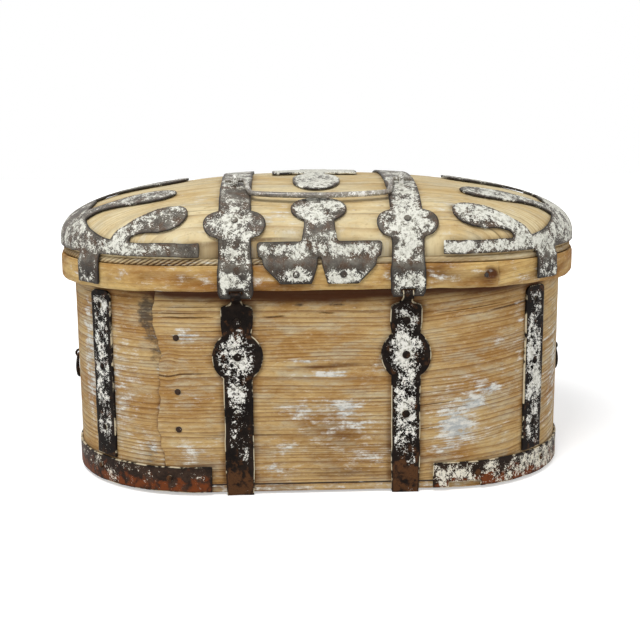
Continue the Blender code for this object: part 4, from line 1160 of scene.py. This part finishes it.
# %% Corner straps and base bands
CORNER_ANGLE = {"left": 45.0, "right": 48.0}
CORNER_HALF = 0.018
BASE_LOW, BASE_HIGH = (corner.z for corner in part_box("base_band_left"))
CORNER_TOP, CORNER_FOOT = rim_low.z - 0.006, BASE_HIGH + 0.0025
CORNER_LEVELS = [(CORNER_TOP - drop, share) for drop, share in (
    (0.0, 0.55), (0.0008, 0.72), (0.002, 0.85), (0.004, 0.95), (0.006, 1.0))] + [(CORNER_FOOT, 1.0)]


def round_end(angle, sx, z, radius):
    """Place and outward direction on the round end of one side."""
    out = Vector((sx * math.cos(angle), math.sin(angle), 0.0))
    return Vector((sx * STRAIGHT, 0.0, z)) + out * radius, out


def corner_at(end, side, z, radius):
    """Place and outward direction in the middle of a corner strap."""
    return round_end(side * math.radians(CORNER_ANGLE[end]), SIDES[end], z, radius)


def level_row(cells, sx, z):
    """Row at one height round the end of a side."""
    return [(Vector((sx * p.x, p.y, z)), Vector((sx * n.x, n.y, 0))) for p, n in cells]


def rusted_through(p):
    return 0.150 < p.x < 0.188 and p.y < -0.15 and p.z < BASE_LOW + 0.0065


for end, sx in SIDES.items():
    right = end == "right"
    for side_name, side in (("hinge", -1), ("opening", 1)):
        middle, half = side * math.radians(CORNER_ANGLE[end]), CORNER_HALF / WALL_D
        rows = [[round_end(middle + half * share * c, sx, z, WALL_D) for c in columns(10)]
                for z, share in CORNER_LEVELS]
        places = [(*corner_at(end, side, 0.150, WALL_D + IRON_T)[0], 0.060, 0.22),
                  (*corner_at(end, side, 0.225, WALL_D + IRON_T)[0], 0.020,
                   -0.05 if right else 0.22)]
        forge_strap("corner_strap_%s_%s" % (side_name, end), refine(rows, 0.0035), wall_iron,
                    0.36 if right else 0.31, places)
    arm = abs(STRAP_X[end]) + NECK_HALF + 0.0163
    cells = [on_oval(float(s), WALL_D) for s in np.linspace(arm, around(WALL_D) / 2 - arm, 230)]
    rows = [level_row(cells, sx, BASE_LOW + (BASE_HIGH - BASE_LOW) * k / 9) for k in range(10)]
    places = [(sx * (arm + 0.05), -WALL_D, 0.02, 0.045, 0.04 if right else -0.06),
              (sx * 0.26, -0.12, 0.03, 0.05, 0.18 if right else 0.14)]
    forge_strap("base_band_" + end, rows, base_iron, 0.36 if right else 0.15, places,
                hole=rusted_through)


# %% [markdown]
# ## Irons welded at the forge
# The crescents at the two ends, the T iron and the crown iron are more than one
# strip: arms, leaves and fingers are welded to a middle. Each strip is made
# solid on its own and left to run into the next. A voxel Remesh then melts them
# into one skin with soft inner corners, as a forge weld has, and a light smooth
# takes the last steps out of it.

# %% Forge weld
VOXEL = 0.0012


def evaluated_bmesh(ob):
    """Finished mesh of a helper object, which is then removed."""
    bpy.context.scene.collection.objects.link(ob)
    bm = bmesh.new()
    bm.from_mesh(ob.evaluated_get(bpy.context.evaluated_depsgraph_get()).to_mesh())
    bpy.data.objects.remove(ob)
    return bm


def facing_out(p):
    return outwards(p) if p.z < EDGE_Z else on_dome(p.x, p.y)[1]


def forge_weld(node, strips, base, places, gap, thick):
    bm = bmesh.new()
    for rows in strips:
        bmesh.ops.solidify(bm, geom=lay_grid(bm, rows, gap), thickness=-thick)
    mesh = bpy.data.meshes.new(node + "_strips")
    bm.to_mesh(mesh)
    bm.free()
    rough = bpy.data.objects.new(node + "_strips", mesh)
    weld = rough.modifiers.new("forge weld", "REMESH")
    weld.mode = "VOXEL"
    weld.voxel_size = VOXEL
    bm = evaluated_bmesh(rough)
    for _ in range(3):
        bmesh.ops.smooth_vert(bm, verts=bm.verts, factor=0.5, use_axis_x=True, use_axis_y=True,
                              use_axis_z=True)
    bm.normal_update()
    sides = [p.co.copy() for p in bm.verts if abs(p.normal.dot(facing_out(p.co))) < 0.45]
    outline_distance(bm, sides)
    paint_points(bm, base, places)
    piece = finish_piece(worn(node), bm, "lid", [lid_iron], [node])
    print(piece.name, len(piece.data.polygons), "faces")


print("forge weld ready, voxels of", 1000 * VOXEL, "mm")

# %% [markdown]
# ## Crescents with leaf fingers
# At each end of the lid a crescent hugs the foot of the dome, with two arms
# that run along the sides, five leaves that reach towards the strap, and two
# tabs that hang over the rim.

# %% End irons
ARM_RISE, CRESCENT_RISE, CRESCENT_DROP = 0.0085, 0.043, 0.0075
END_GAP, END_T, TAB_HALF = 0.0004, 0.0030, 0.0195
LEAF_ALONG = (0, 0.15, 0.35, 0.55, 0.74, 0.88, 0.95, 0.985, 1)
LEAF_WIDTH = (0.7, 0.48, 0.68, 0.95, 1, 0.86, 0.62, 0.38, 0.2)
# Turn of the root in degrees, gap from the tip to the strap's lobe, drift, half width.
LEAVES = [(0, 0.0285, 0.0, 0.025)]
for side in (-1, 1):
    LEAVES += [(side * 30, 0.0355, side * 0.0215, 0.0195),
               (side * 60, 0.0175, side * 0.003, 0.0180)]
TAB_ROWS = ((EDGE_Z - 0.003, DOME_D, 0.0), (EDGE_Z - CRESCENT_DROP, DOME_D, 0.0),
            (rim_high.z, RIM_D, 0.6), (rim_high.z - 0.0048, RIM_D, 0.0),
            (rim_low.z + 0.0045, RIM_D, 0.0))


def crescent_share(angle):
    """Share of the way from the crown to the dome's foot at which the crescent ends."""
    t = clamp((63.0 - abs(math.degrees(angle))) / 53.0)
    rise = ARM_RISE + (CRESCENT_RISE - ARM_RISE) * t * t * (3 - 2 * t)
    return math.sqrt(1 - (rise / DOME_RISE) ** (1 / DOME_FULLNESS))


def crescent_rows(sx, arm):
    stops = np.linspace(arm, 2 * STRAIGHT + math.pi * DOME_D - arm, 260)
    cells = [on_oval(float(s), DOME_D) for s in stops]
    rows = [level_row(cells, sx, EDGE_Z - CRESCENT_DROP * share) for share in (1.0, 0.5, 0.0)]
    tops = [math.asin(crescent_share(math.atan2(n.y, n.x))) for _, n in cells]
    for level in range(1, 13):
        shares = [math.sin(math.pi / 2 + (top - math.pi / 2) * level / 12) for top in tops]
        rows.append([on_dome(sx * p.x * q, p.y * q) for (p, _), q in zip(cells, shares)])
    return rows


def leaf_rows(sx, lobe, turn, gap, drift, half):
    angle = math.radians(turn)
    place, _ = on_oval(STRAIGHT + DOME_D * (angle + math.pi / 2), DOME_D)
    root = spread(place, crescent_share(angle), 0)
    root.x *= sx
    tip = Vector((sx * (lobe + gap), root.y + drift, 0))
    rows = []
    for t in (k / 48 for k in range(-6, 49)):
        here = root.lerp(tip, t)
        before, after = (on_dome(*root.lerp(tip, t + step).xy)[0] for step in (-0.01, 0.01))
        across = on_dome(here.x, here.y)[1].cross(after - before).normalized()
        across *= half * float(np.interp(max(t, 0.0), LEAF_ALONG, LEAF_WIDTH))
        rows.append([on_dome(here.x + across.x * c, here.y + across.y * c) for c in columns(8)])
    return rows


def tab_rows(end, side):
    middle, half = side * math.radians(CORNER_ANGLE[end]), TAB_HALF / RIM_D
    rows = []
    for z, radius, tilt in TAB_ROWS:
        cells = [round_end(middle + half * c, SIDES[end], z, radius) for c in columns(8)]
        rows.append([(p, (n + Vector((0, 0, tilt))).normalized()) for p, n in cells])
    return refine(rows, 0.004)


for end, sx in SIDES.items():
    right = end == "right"
    edge_x = abs(STRAP_X[end]) + STRAP_HALF
    strips = [crescent_rows(sx, edge_x + 0.022)]
    strips += [leaf_rows(sx, edge_x + LOBE_R, *leaf) for leaf in LEAVES]
    strips += [tab_rows(end, side) for side in (-1, 1)]
    places = [(sx * 0.17, -0.183, 0.300, 0.040, 0.06 if right else -0.18),
              (sx * 0.30, -0.06, 0.32, 0.06, 0.02 if right else -0.06),
              (sx * 0.24, -0.16, 0.31, 0.03, 0.10), (sx * 0.22, -0.13, 0.335, 0.03, 0.08),
              (sx * 0.21, 0.12, 0.345, 0.06, 0.42)]
    # Each tab is left bare and dark at its top, where it drops from the crescent: a painted shadow
    # under the crescent's edge.
    places += [(*corner_at(end, side, rim_high.z + 0.001, RIM_D + 0.002)[0], 0.011, -0.36)
               for side in (-1, 1)]
    forge_weld("end_iron_" + end, strips, 0.57 if right else 0.43, places, END_GAP, END_T)

# %% [markdown]
# ## T iron
# In the middle of the hinge side sits an iron with a round head, a flared stem
# and a cross bar that folds over the rim in two leaves. Its rows are found by
# their distance over the dome from its ridge.

# %% T iron
CENTRE_X = -0.0045
ROUND = [math.sin(math.radians(turn)) for turn in range(-86, 87, 4)]
HEAD_R, HEAD_TOP, HEAD_LOW = 0.033, 0.043, 0.0085
STEM_HALF, STEM_FLARE = 0.0178, 0.0044
CROSS_HALF, CROSS_FOLD_HALF, CROSS_RISE = 0.072, 0.0705, 0.0085
ridge_s, ridge_y, ridge_z = dome_reach(0.0)


def over_ridge(y):
    """Distance over the dome from its ridge to a plan depth."""
    return float(np.interp(y, ridge_y, ridge_s))


def ridge_row(k, half, cols, side=-1):
    """Row in the middle of the lid at a distance k over the dome from its ridge."""
    return dome_row(CENTRE_X, half, cols, side * float(np.interp(k, ridge_s, ridge_y)))


def centre_strips():
    cols, wide = columns(14), columns(36)
    top, low = over_ridge(DOME_D - HEAD_TOP), over_ridge(DOME_D - HEAD_LOW)
    mid, half = (top + low) / 2, (low - top) / 2
    head = [ridge_row(mid + half * d, HEAD_R * math.sqrt(1 - d * d), cols) for d in ROUND]
    bar = over_ridge(float(np.interp(EDGE_Z + CROSS_RISE, ridge_z[::-1], ridge_y[::-1])))
    start, end = mid + half * 0.3, float(ridge_s[-1])
    stem = [ridge_row(start + (bar + 0.006 - start) * k,
                      STEM_HALF + STEM_FLARE * max(k - 0.4, 0) / 0.6, cols)
            for k in np.linspace(0, 1, 10)]
    cross = [ridge_row(k, CROSS_HALF * share, wide)
             for k, share in ((bar - 0.001, 0.955), (bar, 0.98), (bar + 0.002, 1.0),
                              ((bar + end) / 2, 1.0), (end, 0.995))]
    cross.append(flat_row(CENTRE_X, CROSS_FOLD_HALF, wide, *over_rim(-1, ())[0]))
    strips = [head, refine(stem), refine(cross, 0.003)]
    for side in (-1, 1):
        rows = []
        for row, k in zip(over_rim(-1, (rim_low.z + 0.0075,)), (0.0, 0.1, 0.3, 1.0)):
            outer, inner = 0.067 - 0.022 * k, 0.0017 + 0.0073 * k
            xc, width = CENTRE_X + side * (outer + inner) / 2, (outer - inner) / 2
            rows.append(flat_row(xc, width, columns(12), *row))
        strips.append(refine(rows, 0.004))
    return strips


places = [(CENTRE_X, -0.155, 0.34, 0.026, 0.26), (CENTRE_X, -0.175, 0.315, 0.012, -0.30)]
for side in (-1, 1):
    places += [(CENTRE_X + side * 0.027, -0.190, 0.266, 0.014, 0.34)]
    # A row of bare spots just below the fold darkens the leaves: painted shade under the fold.
    places += [(CENTRE_X + side * reach, -0.188, 0.281, 0.008, -0.30)
               for reach in (0.008, 0.020, 0.032, 0.044, 0.056)]
    # A little more paint on the cross bar just above the fold is a painted highlight.
    places += [(CENTRE_X + side * reach, -0.182, 0.299, 0.010, 0.10)
               for reach in (0.012, 0.030, 0.048)]
forge_weld("centre_iron", centre_strips(), 0.45, places, LIFT, IRON_T)

# %% [markdown]
# ## Crown iron
# Behind the T iron, over the crown, lies a second iron with an oval head, a
# cross bar, and a strap that runs down the far side.

# %% Crown iron
OVAL_Y, OVAL_HALF, OVAL_SIDE = 0.022 + 0.043 - DOME_D, 0.0365, 0.0290
CROWN_BAR_Y, CROWN_BAR_DEEP, CROWN_BAR_HALF = OVAL_Y + 0.0835, 0.041, 0.054
CROWN_BAR = ((0, 0.94), (0.04, 0.975), (0.1, 1.0), (0.9, 1.0), (0.96, 0.975), (1, 0.94))
CROWN_NECK_HALF, TAIL_HALF = 0.013, 0.018


def crown_strips():
    cols, mid = columns(14), OVAL_Y + OVAL_HALF
    head = [dome_row(CENTRE_X, OVAL_SIDE * (1 - abs(d) ** 2.4) ** 0.5, cols, mid + OVAL_HALF * d)
            for d in ROUND]
    cross = [dome_row(CENTRE_X, CROWN_BAR_HALF * share, columns(26),
                      CROWN_BAR_Y + CROWN_BAR_DEEP * k) for k, share in CROWN_BAR]
    neck = [dome_row(CENTRE_X, CROWN_NECK_HALF, cols, CROWN_BAR_Y + y)
            for y in (-0.020, -0.006, 0.008)]
    tail = [ridge_row(k, TAIL_HALF, cols, 1)
            for k in np.linspace(over_ridge(CROWN_BAR_Y + 0.030), ridge_s[-1], 30)]
    tail += reversed(far_end(CENTRE_X, TAIL_HALF, cols))
    return [head, refine(cross), refine(neck), refine(tail)]


places = [(CENTRE_X, -0.09, 0.37, 0.03, 0.2)]
places += [(CENTRE_X + step, -0.02, 0.378, 0.03, 0.26) for step in (-0.035, 0.0, 0.035)]
forge_weld("crown_iron", crown_strips(), 0.56, places, LIFT, IRON_T - 0.0002)

# %% [markdown]
# ## Painted shade and dirt along the irons
# The wood beside the edge of each iron is darkened brown, partly by dirt and
# partly by painted contact shade where iron meets wood. The darkening at each
# point of the wood grows with its nearness to the next iron, which a search tree
# over the points of the irons finds quickly.

# %% Painted shade and dirt along the irons
LID_IRONS = ("lid_strap_worn", "end_iron_worn", "centre_iron_worn", "crown_iron_worn")
WALL_IRONS = ("hinge_strap_worn", "opening_strap_worn", "corner_strap_worn", "base_band_worn")


def shade_and_dirt_along(piece, starts, amount, reach):
    """Darken a piece with dirt and painted contact shade beside all irons whose names start in one
    of the given ways.
    """
    irons = [ob for ob in bpy.context.scene.collection.objects if ob.name.startswith(starts)]
    tree = search_tree([v.co.copy() for iron in irons for v in iron.data.vertices])
    touched = 0
    for point, stain in zip(piece.data.vertices, piece.data.attributes["stain"].data):
        gap = max(tree.find(point.co)[2] - 0.002, 0.0)
        stain.value += amount * bell(gap, reach)
        touched += gap < reach
    print(piece.name, touched, "points beside", len(irons), "irons")


shade_and_dirt_along(lid, LID_IRONS, 0.22, 0.0030)
shade_and_dirt_along(wall, WALL_IRONS, 0.34, 0.0036)
shade_and_dirt_along(rim, LID_IRONS, 0.12, 0.0030)


# %% [markdown]
# ## A nail head
# Hand-made nails hold every iron. A nail head is a short profile spun round its
# axis, turned to face out and set on the iron. The smith's blows leave facets,
# so the spin has few steps and each head is turned by its own angle.

# %% Nail head
NAIL_PROFILE = ((0, 0), (1, 0), (0.98, 0.3), (0.8, 0.75), (0.45, 1), (0, 1.04))
NAIL_RISE, NAIL_FACETS, NAIL_TURN = 0.44, 11, 1.7


def nail_head(bm, foot, axis, radius, turn):
    points = [bm.verts.new((radius * r, 0, radius * NAIL_RISE * h)) for r, h in NAIL_PROFILE]
    edges = [bm.edges.new(pair) for pair in zip(points, points[1:])]
    bmesh.ops.spin(bm, geom=points + edges, cent=(0, 0, 0), axis=(0, 0, 1), angle=2 * math.pi,
                   steps=NAIL_FACETS, use_merge=True)
    head = list({v for f in bm.faces for v in f.verts if not v.tag})
    bmesh.ops.remove_doubles(bm, verts=head, dist=1e-6)
    head = [v for v in bm.verts if not v.tag]
    upright = Vector((0, 0, 1)).rotation_difference(Vector(axis)).to_matrix().to_4x4()
    upright = Matrix.Translation(Vector(foot)) @ upright @ Matrix.Rotation(turn, 4, "Z")
    bmesh.ops.transform(bm, matrix=upright, verts=head)
    for v in head:
        v.tag = True


def nails(name, spots, body, finish, nodes, paint_at_top=0.46):
    """One piece of nail heads from rows of (foot, axis, radius)."""
    bm = bmesh.new()
    for i, (foot, axis, radius) in enumerate(spots):
        nail_head(bm, foot, axis, radius, NAIL_TURN * i)
    bmesh.ops.recalc_face_normals(bm, faces=bm.faces)
    edge = bm.verts.layers.float.new("edge")
    paint = bm.verts.layers.float.new("paint")
    feet = [(Vector(foot), Vector(axis).normalized(), radius) for foot, axis, radius in spots]
    for v in bm.verts:
        foot, axis, radius = min(feet, key=lambda f: (f[0] - v.co).length)
        height = (v.co - foot).dot(axis)
        # Low on a head the edge value is small, so the finish draws its near-black outline there: a
        # dark ring at the foot of each head, partly dark edge, partly painted contact shade.
        v[edge] = height * 1.8
        v[paint] = paint_at_top * height / (radius * 0.45)
    finish_piece(name, bm, body, [finish], nodes)
    print(name, len(spots), "nails")


print("a nail head has", NAIL_FACETS, "facets")

# %% [markdown]
# ## Nails in their places
# Three nails hold each strap of the wall, three each corner strap and two each
# arm of a base band. The laps of wall and rim are nailed where the model has
# their nails, and smaller nails hold the irons of the lid.

# %% Nails
STAND = 0.0037
LAP_SINK = 0.0006


def on_iron(x, y):
    place, out = on_dome(x, y)
    return place + out * (LIFT + IRON_T + 0.0002), out


def lap_nail(node, radius):
    middle = middle_of(node)
    out = outwards(middle)
    return middle - out * LAP_SINK, out, radius


spots = []
for xc in STRAP_X.values():
    for z in STRAP_NAILS:
        spots += [((xc, side * (WALL_D + 0.0035), z), (0, side, 0), 0.0050) for side in (-1, 1)]
for end, sx in SIDES.items():
    for side in (-1, 1):
        spots += [(*corner_at(end, side, z, WALL_D + STAND), 0.0040) for z in (0.226, 0.150, 0.074)]
        for s in (0.185, 0.290):
            place, out = on_oval(s, WALL_D, STAND)
            spots.append((Vector((sx * place.x, side * -place.y, 0.022)),
                          Vector((sx * out.x, side * -out.y, 0)), 0.0042))
nails("wall_nails", spots, "box", wall_iron,
      ["hinge_nail_%s_%s" % (a, b) for a in SIDES for b in ("plate", "boss", "strap")])
nails("lap_nails", [lap_nail(node, 0.0040) for node in LAP_NAILS], "box", base_iron,
      LAP_NAILS, 0.12)

spots = []
for xc in STRAP_X.values():
    spots += [(*on_iron(xc, y), 0.0042) for y in (-0.1710, 0.1710)]
spots += [((CENTRE_X + side * 0.027, -(RIM_D + STAND), rim_high.z - 0.010), (0, -1, 0), 0.0042)
          for side in (-1, 1)]
spots.append(lap_nail("rim_lap_nail", 0.0034))
spots += [(*corner_at(end, side, rim_high.z - 0.014, RIM_D + 0.0034), 0.0036)
          for end in SIDES for side in (-1, 1)]
nails("lid_nails", spots, "lid", lid_iron,
      ["cross_nail_left", "cross_nail_right", "leaf_nail_left", "leaf_nail_right", "rim_lap_nail"])


# %% [markdown]
# ## Round bar
# The bail, its two staples, and the drop rings with their eyes are bent from
# round bar. A curve with a round bevel is that bar: a few control points give
# its bends, and turning it into a mesh fixes its place.

# %% Bent bar
def bent_bar(name, path, radius, body, node, paint, finish=handle_iron, closed=False, stout=None):
    curve = bpy.data.curves.new(name + "_line", "CURVE")
    curve.dimensions = "3D"
    curve.bevel_depth = radius
    curve.bevel_resolution = 4
    curve.use_fill_caps = True
    curve.resolution_u = 6
    line = curve.splines.new("NURBS")
    line.points.add(len(path) - 1)
    for point, place in zip(line.points, path):
        point.co = (*place, 1.0)
        point.radius = stout(place) if stout else 1.0
    line.use_cyclic_u = closed
    line.use_endpoint_u = not closed
    line.order_u = 3
    bm = evaluated_bmesh(bpy.data.objects.new(name + "_line", curve))
    bmesh.ops.remove_doubles(bm, verts=bm.verts, dist=1e-6)
    bmesh.ops.recalc_face_normals(bm, faces=bm.faces)
    edge = bm.verts.layers.float.new("edge")
    share = bm.verts.layers.float.new("paint")
    for v in bm.verts:
        v[edge] = 0.004
        v[share] = paint
    piece = finish_piece(name, bm, body, [finish], [node])
    print(name, len(piece.data.polygons), "faces")
    return piece


def half_turn(steps):
    return [math.pi * i / steps for i in range(steps + 1)]


print("bar bender ready")

# %% [markdown]
# ## The bail on the lid
# The bail is drawn as one half: a pin in the staple, an elbow, an arm that
# leans towards the hinge side, and a bow. Each control point has a distance
# from the middle and a share of the arm, and the other half is its mirror. The
# bar is stouter in the bow. The staples are hammered broad after bending.

# %% Bail
BAIL_Y, BAIL_R, EYE_R, PIN_RISE = 0.082 - DOME_D, 0.0026, 0.002, 0.005
ARM_REACH, ELBOW_IN = 0.040, 0.017
ARM_BEND = ((0.2, 0.02), (0.3, 0.1), (0.36, 0.3), (0.53, 0.65), (0.63, 0.86), (0.76, 0.97),
            (1.0, 1.02))
BOW_BEND = ((0.79, 1.10), (0.4, 1.17), (0.0, 1.2))
staples = {side: on_iron(xc, BAIL_Y) for side, xc in STRAP_X.items()}
pin = sum((place + out * PIN_RISE for place, out in staples.values()), Vector()) / 2
half = (STRAP_X["right"] - STRAP_X["left"]) / 2
elbow = half - 0.006
arm = Vector((0.0, -ARM_REACH, dome_z(0.0, pin.y - ARM_REACH) + 0.0095 - pin.z))
bends = [(half + 0.013, 0.0), (half + 0.006, 0.0), (elbow, 0.0)]
bends += [(elbow - ELBOW_IN * k, t) for k, t in ARM_BEND]
bends += [((elbow - ELBOW_IN) * k, t) for k, t in BOW_BEND]
path = [pin + Vector((-x, 0, 0)) + arm * t for x, t in bends]
path += [pin + Vector((x, 0, 0)) + arm * t for x, t in reversed(bends[:-1])]
bent_bar("bail_bar", path, BAIL_R, "bail", "bail_handle", 0.36,
         stout=lambda p: 1.0 + 0.28 * clamp((half - 0.010 - abs(p.x - pin.x)) / 0.02))

for side, (place, out) in staples.items():
    r = BAIL_R + EYE_R + 0.00035
    across = Vector((1, 0, 0)).cross(out).normalized() * r
    path = [place - across, place - across + out * 0.0025]
    path += [place + out * (PIN_RISE + r * math.sin(a)) - across * math.cos(a)
             for a in half_turn(12)]
    path += [place + across + out * 0.0025, place + across]
    eye = bent_bar("bail_eye_" + side, path, EYE_R, "lid", "bail_staple_" + side, 0.70)
    for v in eye.data.vertices:
        v.co.x = STRAP_X[side] + 1.55 * (v.co.x - STRAP_X[side])

# %% [markdown]
# ## Drop rings
# A ring hangs in an eye at each end of the box. Both are read from the boxes of
# their nodes: the ring is a closed curve that is stouter low down, and the eye
# goes out from the wall, round the top of the ring and back.

# %% Drop rings
RING_BAR, RING_EYE_BAR = 0.0018, 0.0015
for side, sx in SIDES.items():
    low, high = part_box("ring_" + side)
    centre, r = (low + high) / 2, ((high.z - low.z) / 2 - RING_BAR) * 1.012
    path = [centre + Vector((0, r * math.sin(2 * a), r * math.cos(2 * a)))
            for a in half_turn(24)[:-1]]
    bent_bar("drop_ring_" + side, path, RING_BAR, side + "_ring", "ring_" + side, 0.26, wall_iron,
             True, lambda p: 1.0 + 0.35 * clamp((high.z - 0.006 - p.z) / 0.010))
    low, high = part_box("ring_staple_" + side)
    mid_z, eye = (low.z + high.z) / 2, (high.z - low.z) / 2 - RING_EYE_BAR
    wall_x = wall_high.x + FIT
    reach_x = max(abs(low.x), abs(high.x)) - RING_EYE_BAR - eye
    ways = [(wall_x, eye), ((wall_x + reach_x) / 2, eye)]
    path = ways + [(reach_x + eye * math.sin(a), eye * math.cos(a)) for a in half_turn(10)]
    path += [(x, -up) for x, up in reversed(ways)]
    bent_bar("ring_eye_" + side, [Vector((sx * x, 0, mid_z + up)) for x, up in path], RING_EYE_BAR,
             "box", "ring_staple_" + side, 0.26, wall_iron)

# %% [markdown]
# ## Studio
# The box stands on a pale floor under soft light: a broad lamp above the
# camera, a weaker one on either side, and an even sky. To the camera the sky is
# plain white, while the light it gives stays at a plain level, so colours come
# out about as they were written. The floor shines a little for the camera, and
# more so far away, so that it runs into the sky.

# %% Floor, sky and lamps
WHITE = (1, 1, 1, 1)
FLOOR_HALF, SKY_LIGHT = 6.0, 0.36
LAMP_TARGET = Vector((0, 0, 0.2))
bm = bmesh.new()
bmesh.ops.create_grid(bm, x_segments=8, y_segments=8, size=FLOOR_HALF)
mesh = bpy.data.meshes.new("studio_floor")
bm.to_mesh(mesh)
bm.free()
floor = bpy.data.objects.new("studio_floor", mesh)
floor_finish, web = new_finish("studio_floor")
shader = web.tree.nodes["Principled BSDF"]
where = web.put("TexCoord", 3)
pale = web.mix(web.mottle(where, 4.0), (0.90, 0.90, 0.90, 1), (0.93, 0.93, 0.93, 1))
for key, value in (("Base Color", pale), ("Roughness", 0.9), ("Specular IOR Level", 0.1)):
    web.fill(shader.inputs[key], value)
away = web.put("VectorMath", 1, operation="LENGTH", inputs={0: where})
shine = web.times_plus(web.step(away, 0.45, 1.6), 0.55, 0.45)
shine = web.times(web.put("LightPath", "Is Camera Ray"), shine)
glow = web.put("Emission", inputs={"Color": WHITE, "Strength": shine})
both = web.put("AddShader", inputs={0: shader.outputs[0], 1: glow})
web.fill(web.tree.nodes["Material Output"].inputs["Surface"], both)
mesh.materials.append(floor_finish)
bpy.context.scene.collection.objects.link(floor)
floor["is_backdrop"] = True

world = bpy.data.worlds.new("studio_sky")
bpy.context.scene.world = world
web = Web(world)
shown = 0.0
for kind in ("Is Camera Ray", "Is Glossy Ray", "Is Transmission Ray"):
    shown = web.math("MAXIMUM", shown, web.put("LightPath", kind))
sky = web.tree.nodes["Background"]
web.fill(sky.inputs["Color"], WHITE)
web.fill(sky.inputs["Strength"], web.times_plus(shown, 1 - SKY_LIGHT, SKY_LIGHT))


def lamp(name, place, size, power):
    data = bpy.data.lights.new(name, "AREA")
    data.size = size
    data.energy = power
    ob = bpy.data.objects.new(name, data)
    ob.location = place
    ob.rotation_euler = (LAMP_TARGET - Vector(place)).to_track_quat("-Z", "Y").to_euler()
    bpy.context.scene.collection.objects.link(ob)


lamp("key", (-0.5, -1.35, 2.1), 0.8, 34)
lamp("left_fill", (-2.0, -0.9, 0.9), 1.2, 6)
lamp("right_fill", (2.0, -0.9, 0.9), 1.2, 9)
print("studio set, floor", 2 * FLOOR_HALF, "m across")

# %% [markdown]
# ## Camera
# The camera stands where the photographer stood. Its place, lens and tilt were
# worked out from the outline of the box, the lines of the rim and the straps.

# %% Camera
YAW, PITCH, ROLL = -0.0374, 0.1929, -0.0079
FOCUS_PIXELS, PICTURE_PIXELS, SENSOR_MM = 1074.5, 640, 36
forward = Vector((-math.sin(YAW) * math.cos(PITCH), math.cos(YAW) * math.cos(PITCH),
                  -math.sin(PITCH)))
across = Vector((math.cos(YAW), math.sin(YAW), 0))
upward = across.cross(forward)
turned = across * math.cos(ROLL) + upward * math.sin(ROLL)
upright = upward * math.cos(ROLL) - across * math.sin(ROLL)
camera = bpy.data.objects.new("camera", bpy.data.cameras.new("camera"))
camera.data.sensor_width = SENSOR_MM
camera.data.lens = FOCUS_PIXELS * SENSOR_MM / PICTURE_PIXELS
camera.matrix_world = Matrix((turned, upright, -forward)).transposed().to_4x4()
camera.location = (-0.0501, -1.3995, 0.4527)
bpy.context.scene.collection.objects.link(camera)
bpy.context.scene.camera = camera
bpy.context.scene.view_settings.view_transform = "Standard"
print("camera lens", round(camera.data.lens, 2), "mm")

# %% [markdown]
# ## Sizes and the end
# The box round all pieces is printed. No piece may reach outside the measured
# box.

# %% Sizes and the end
low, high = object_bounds()
print("visual box", [round(v, 4) for v in (*low, *high)])
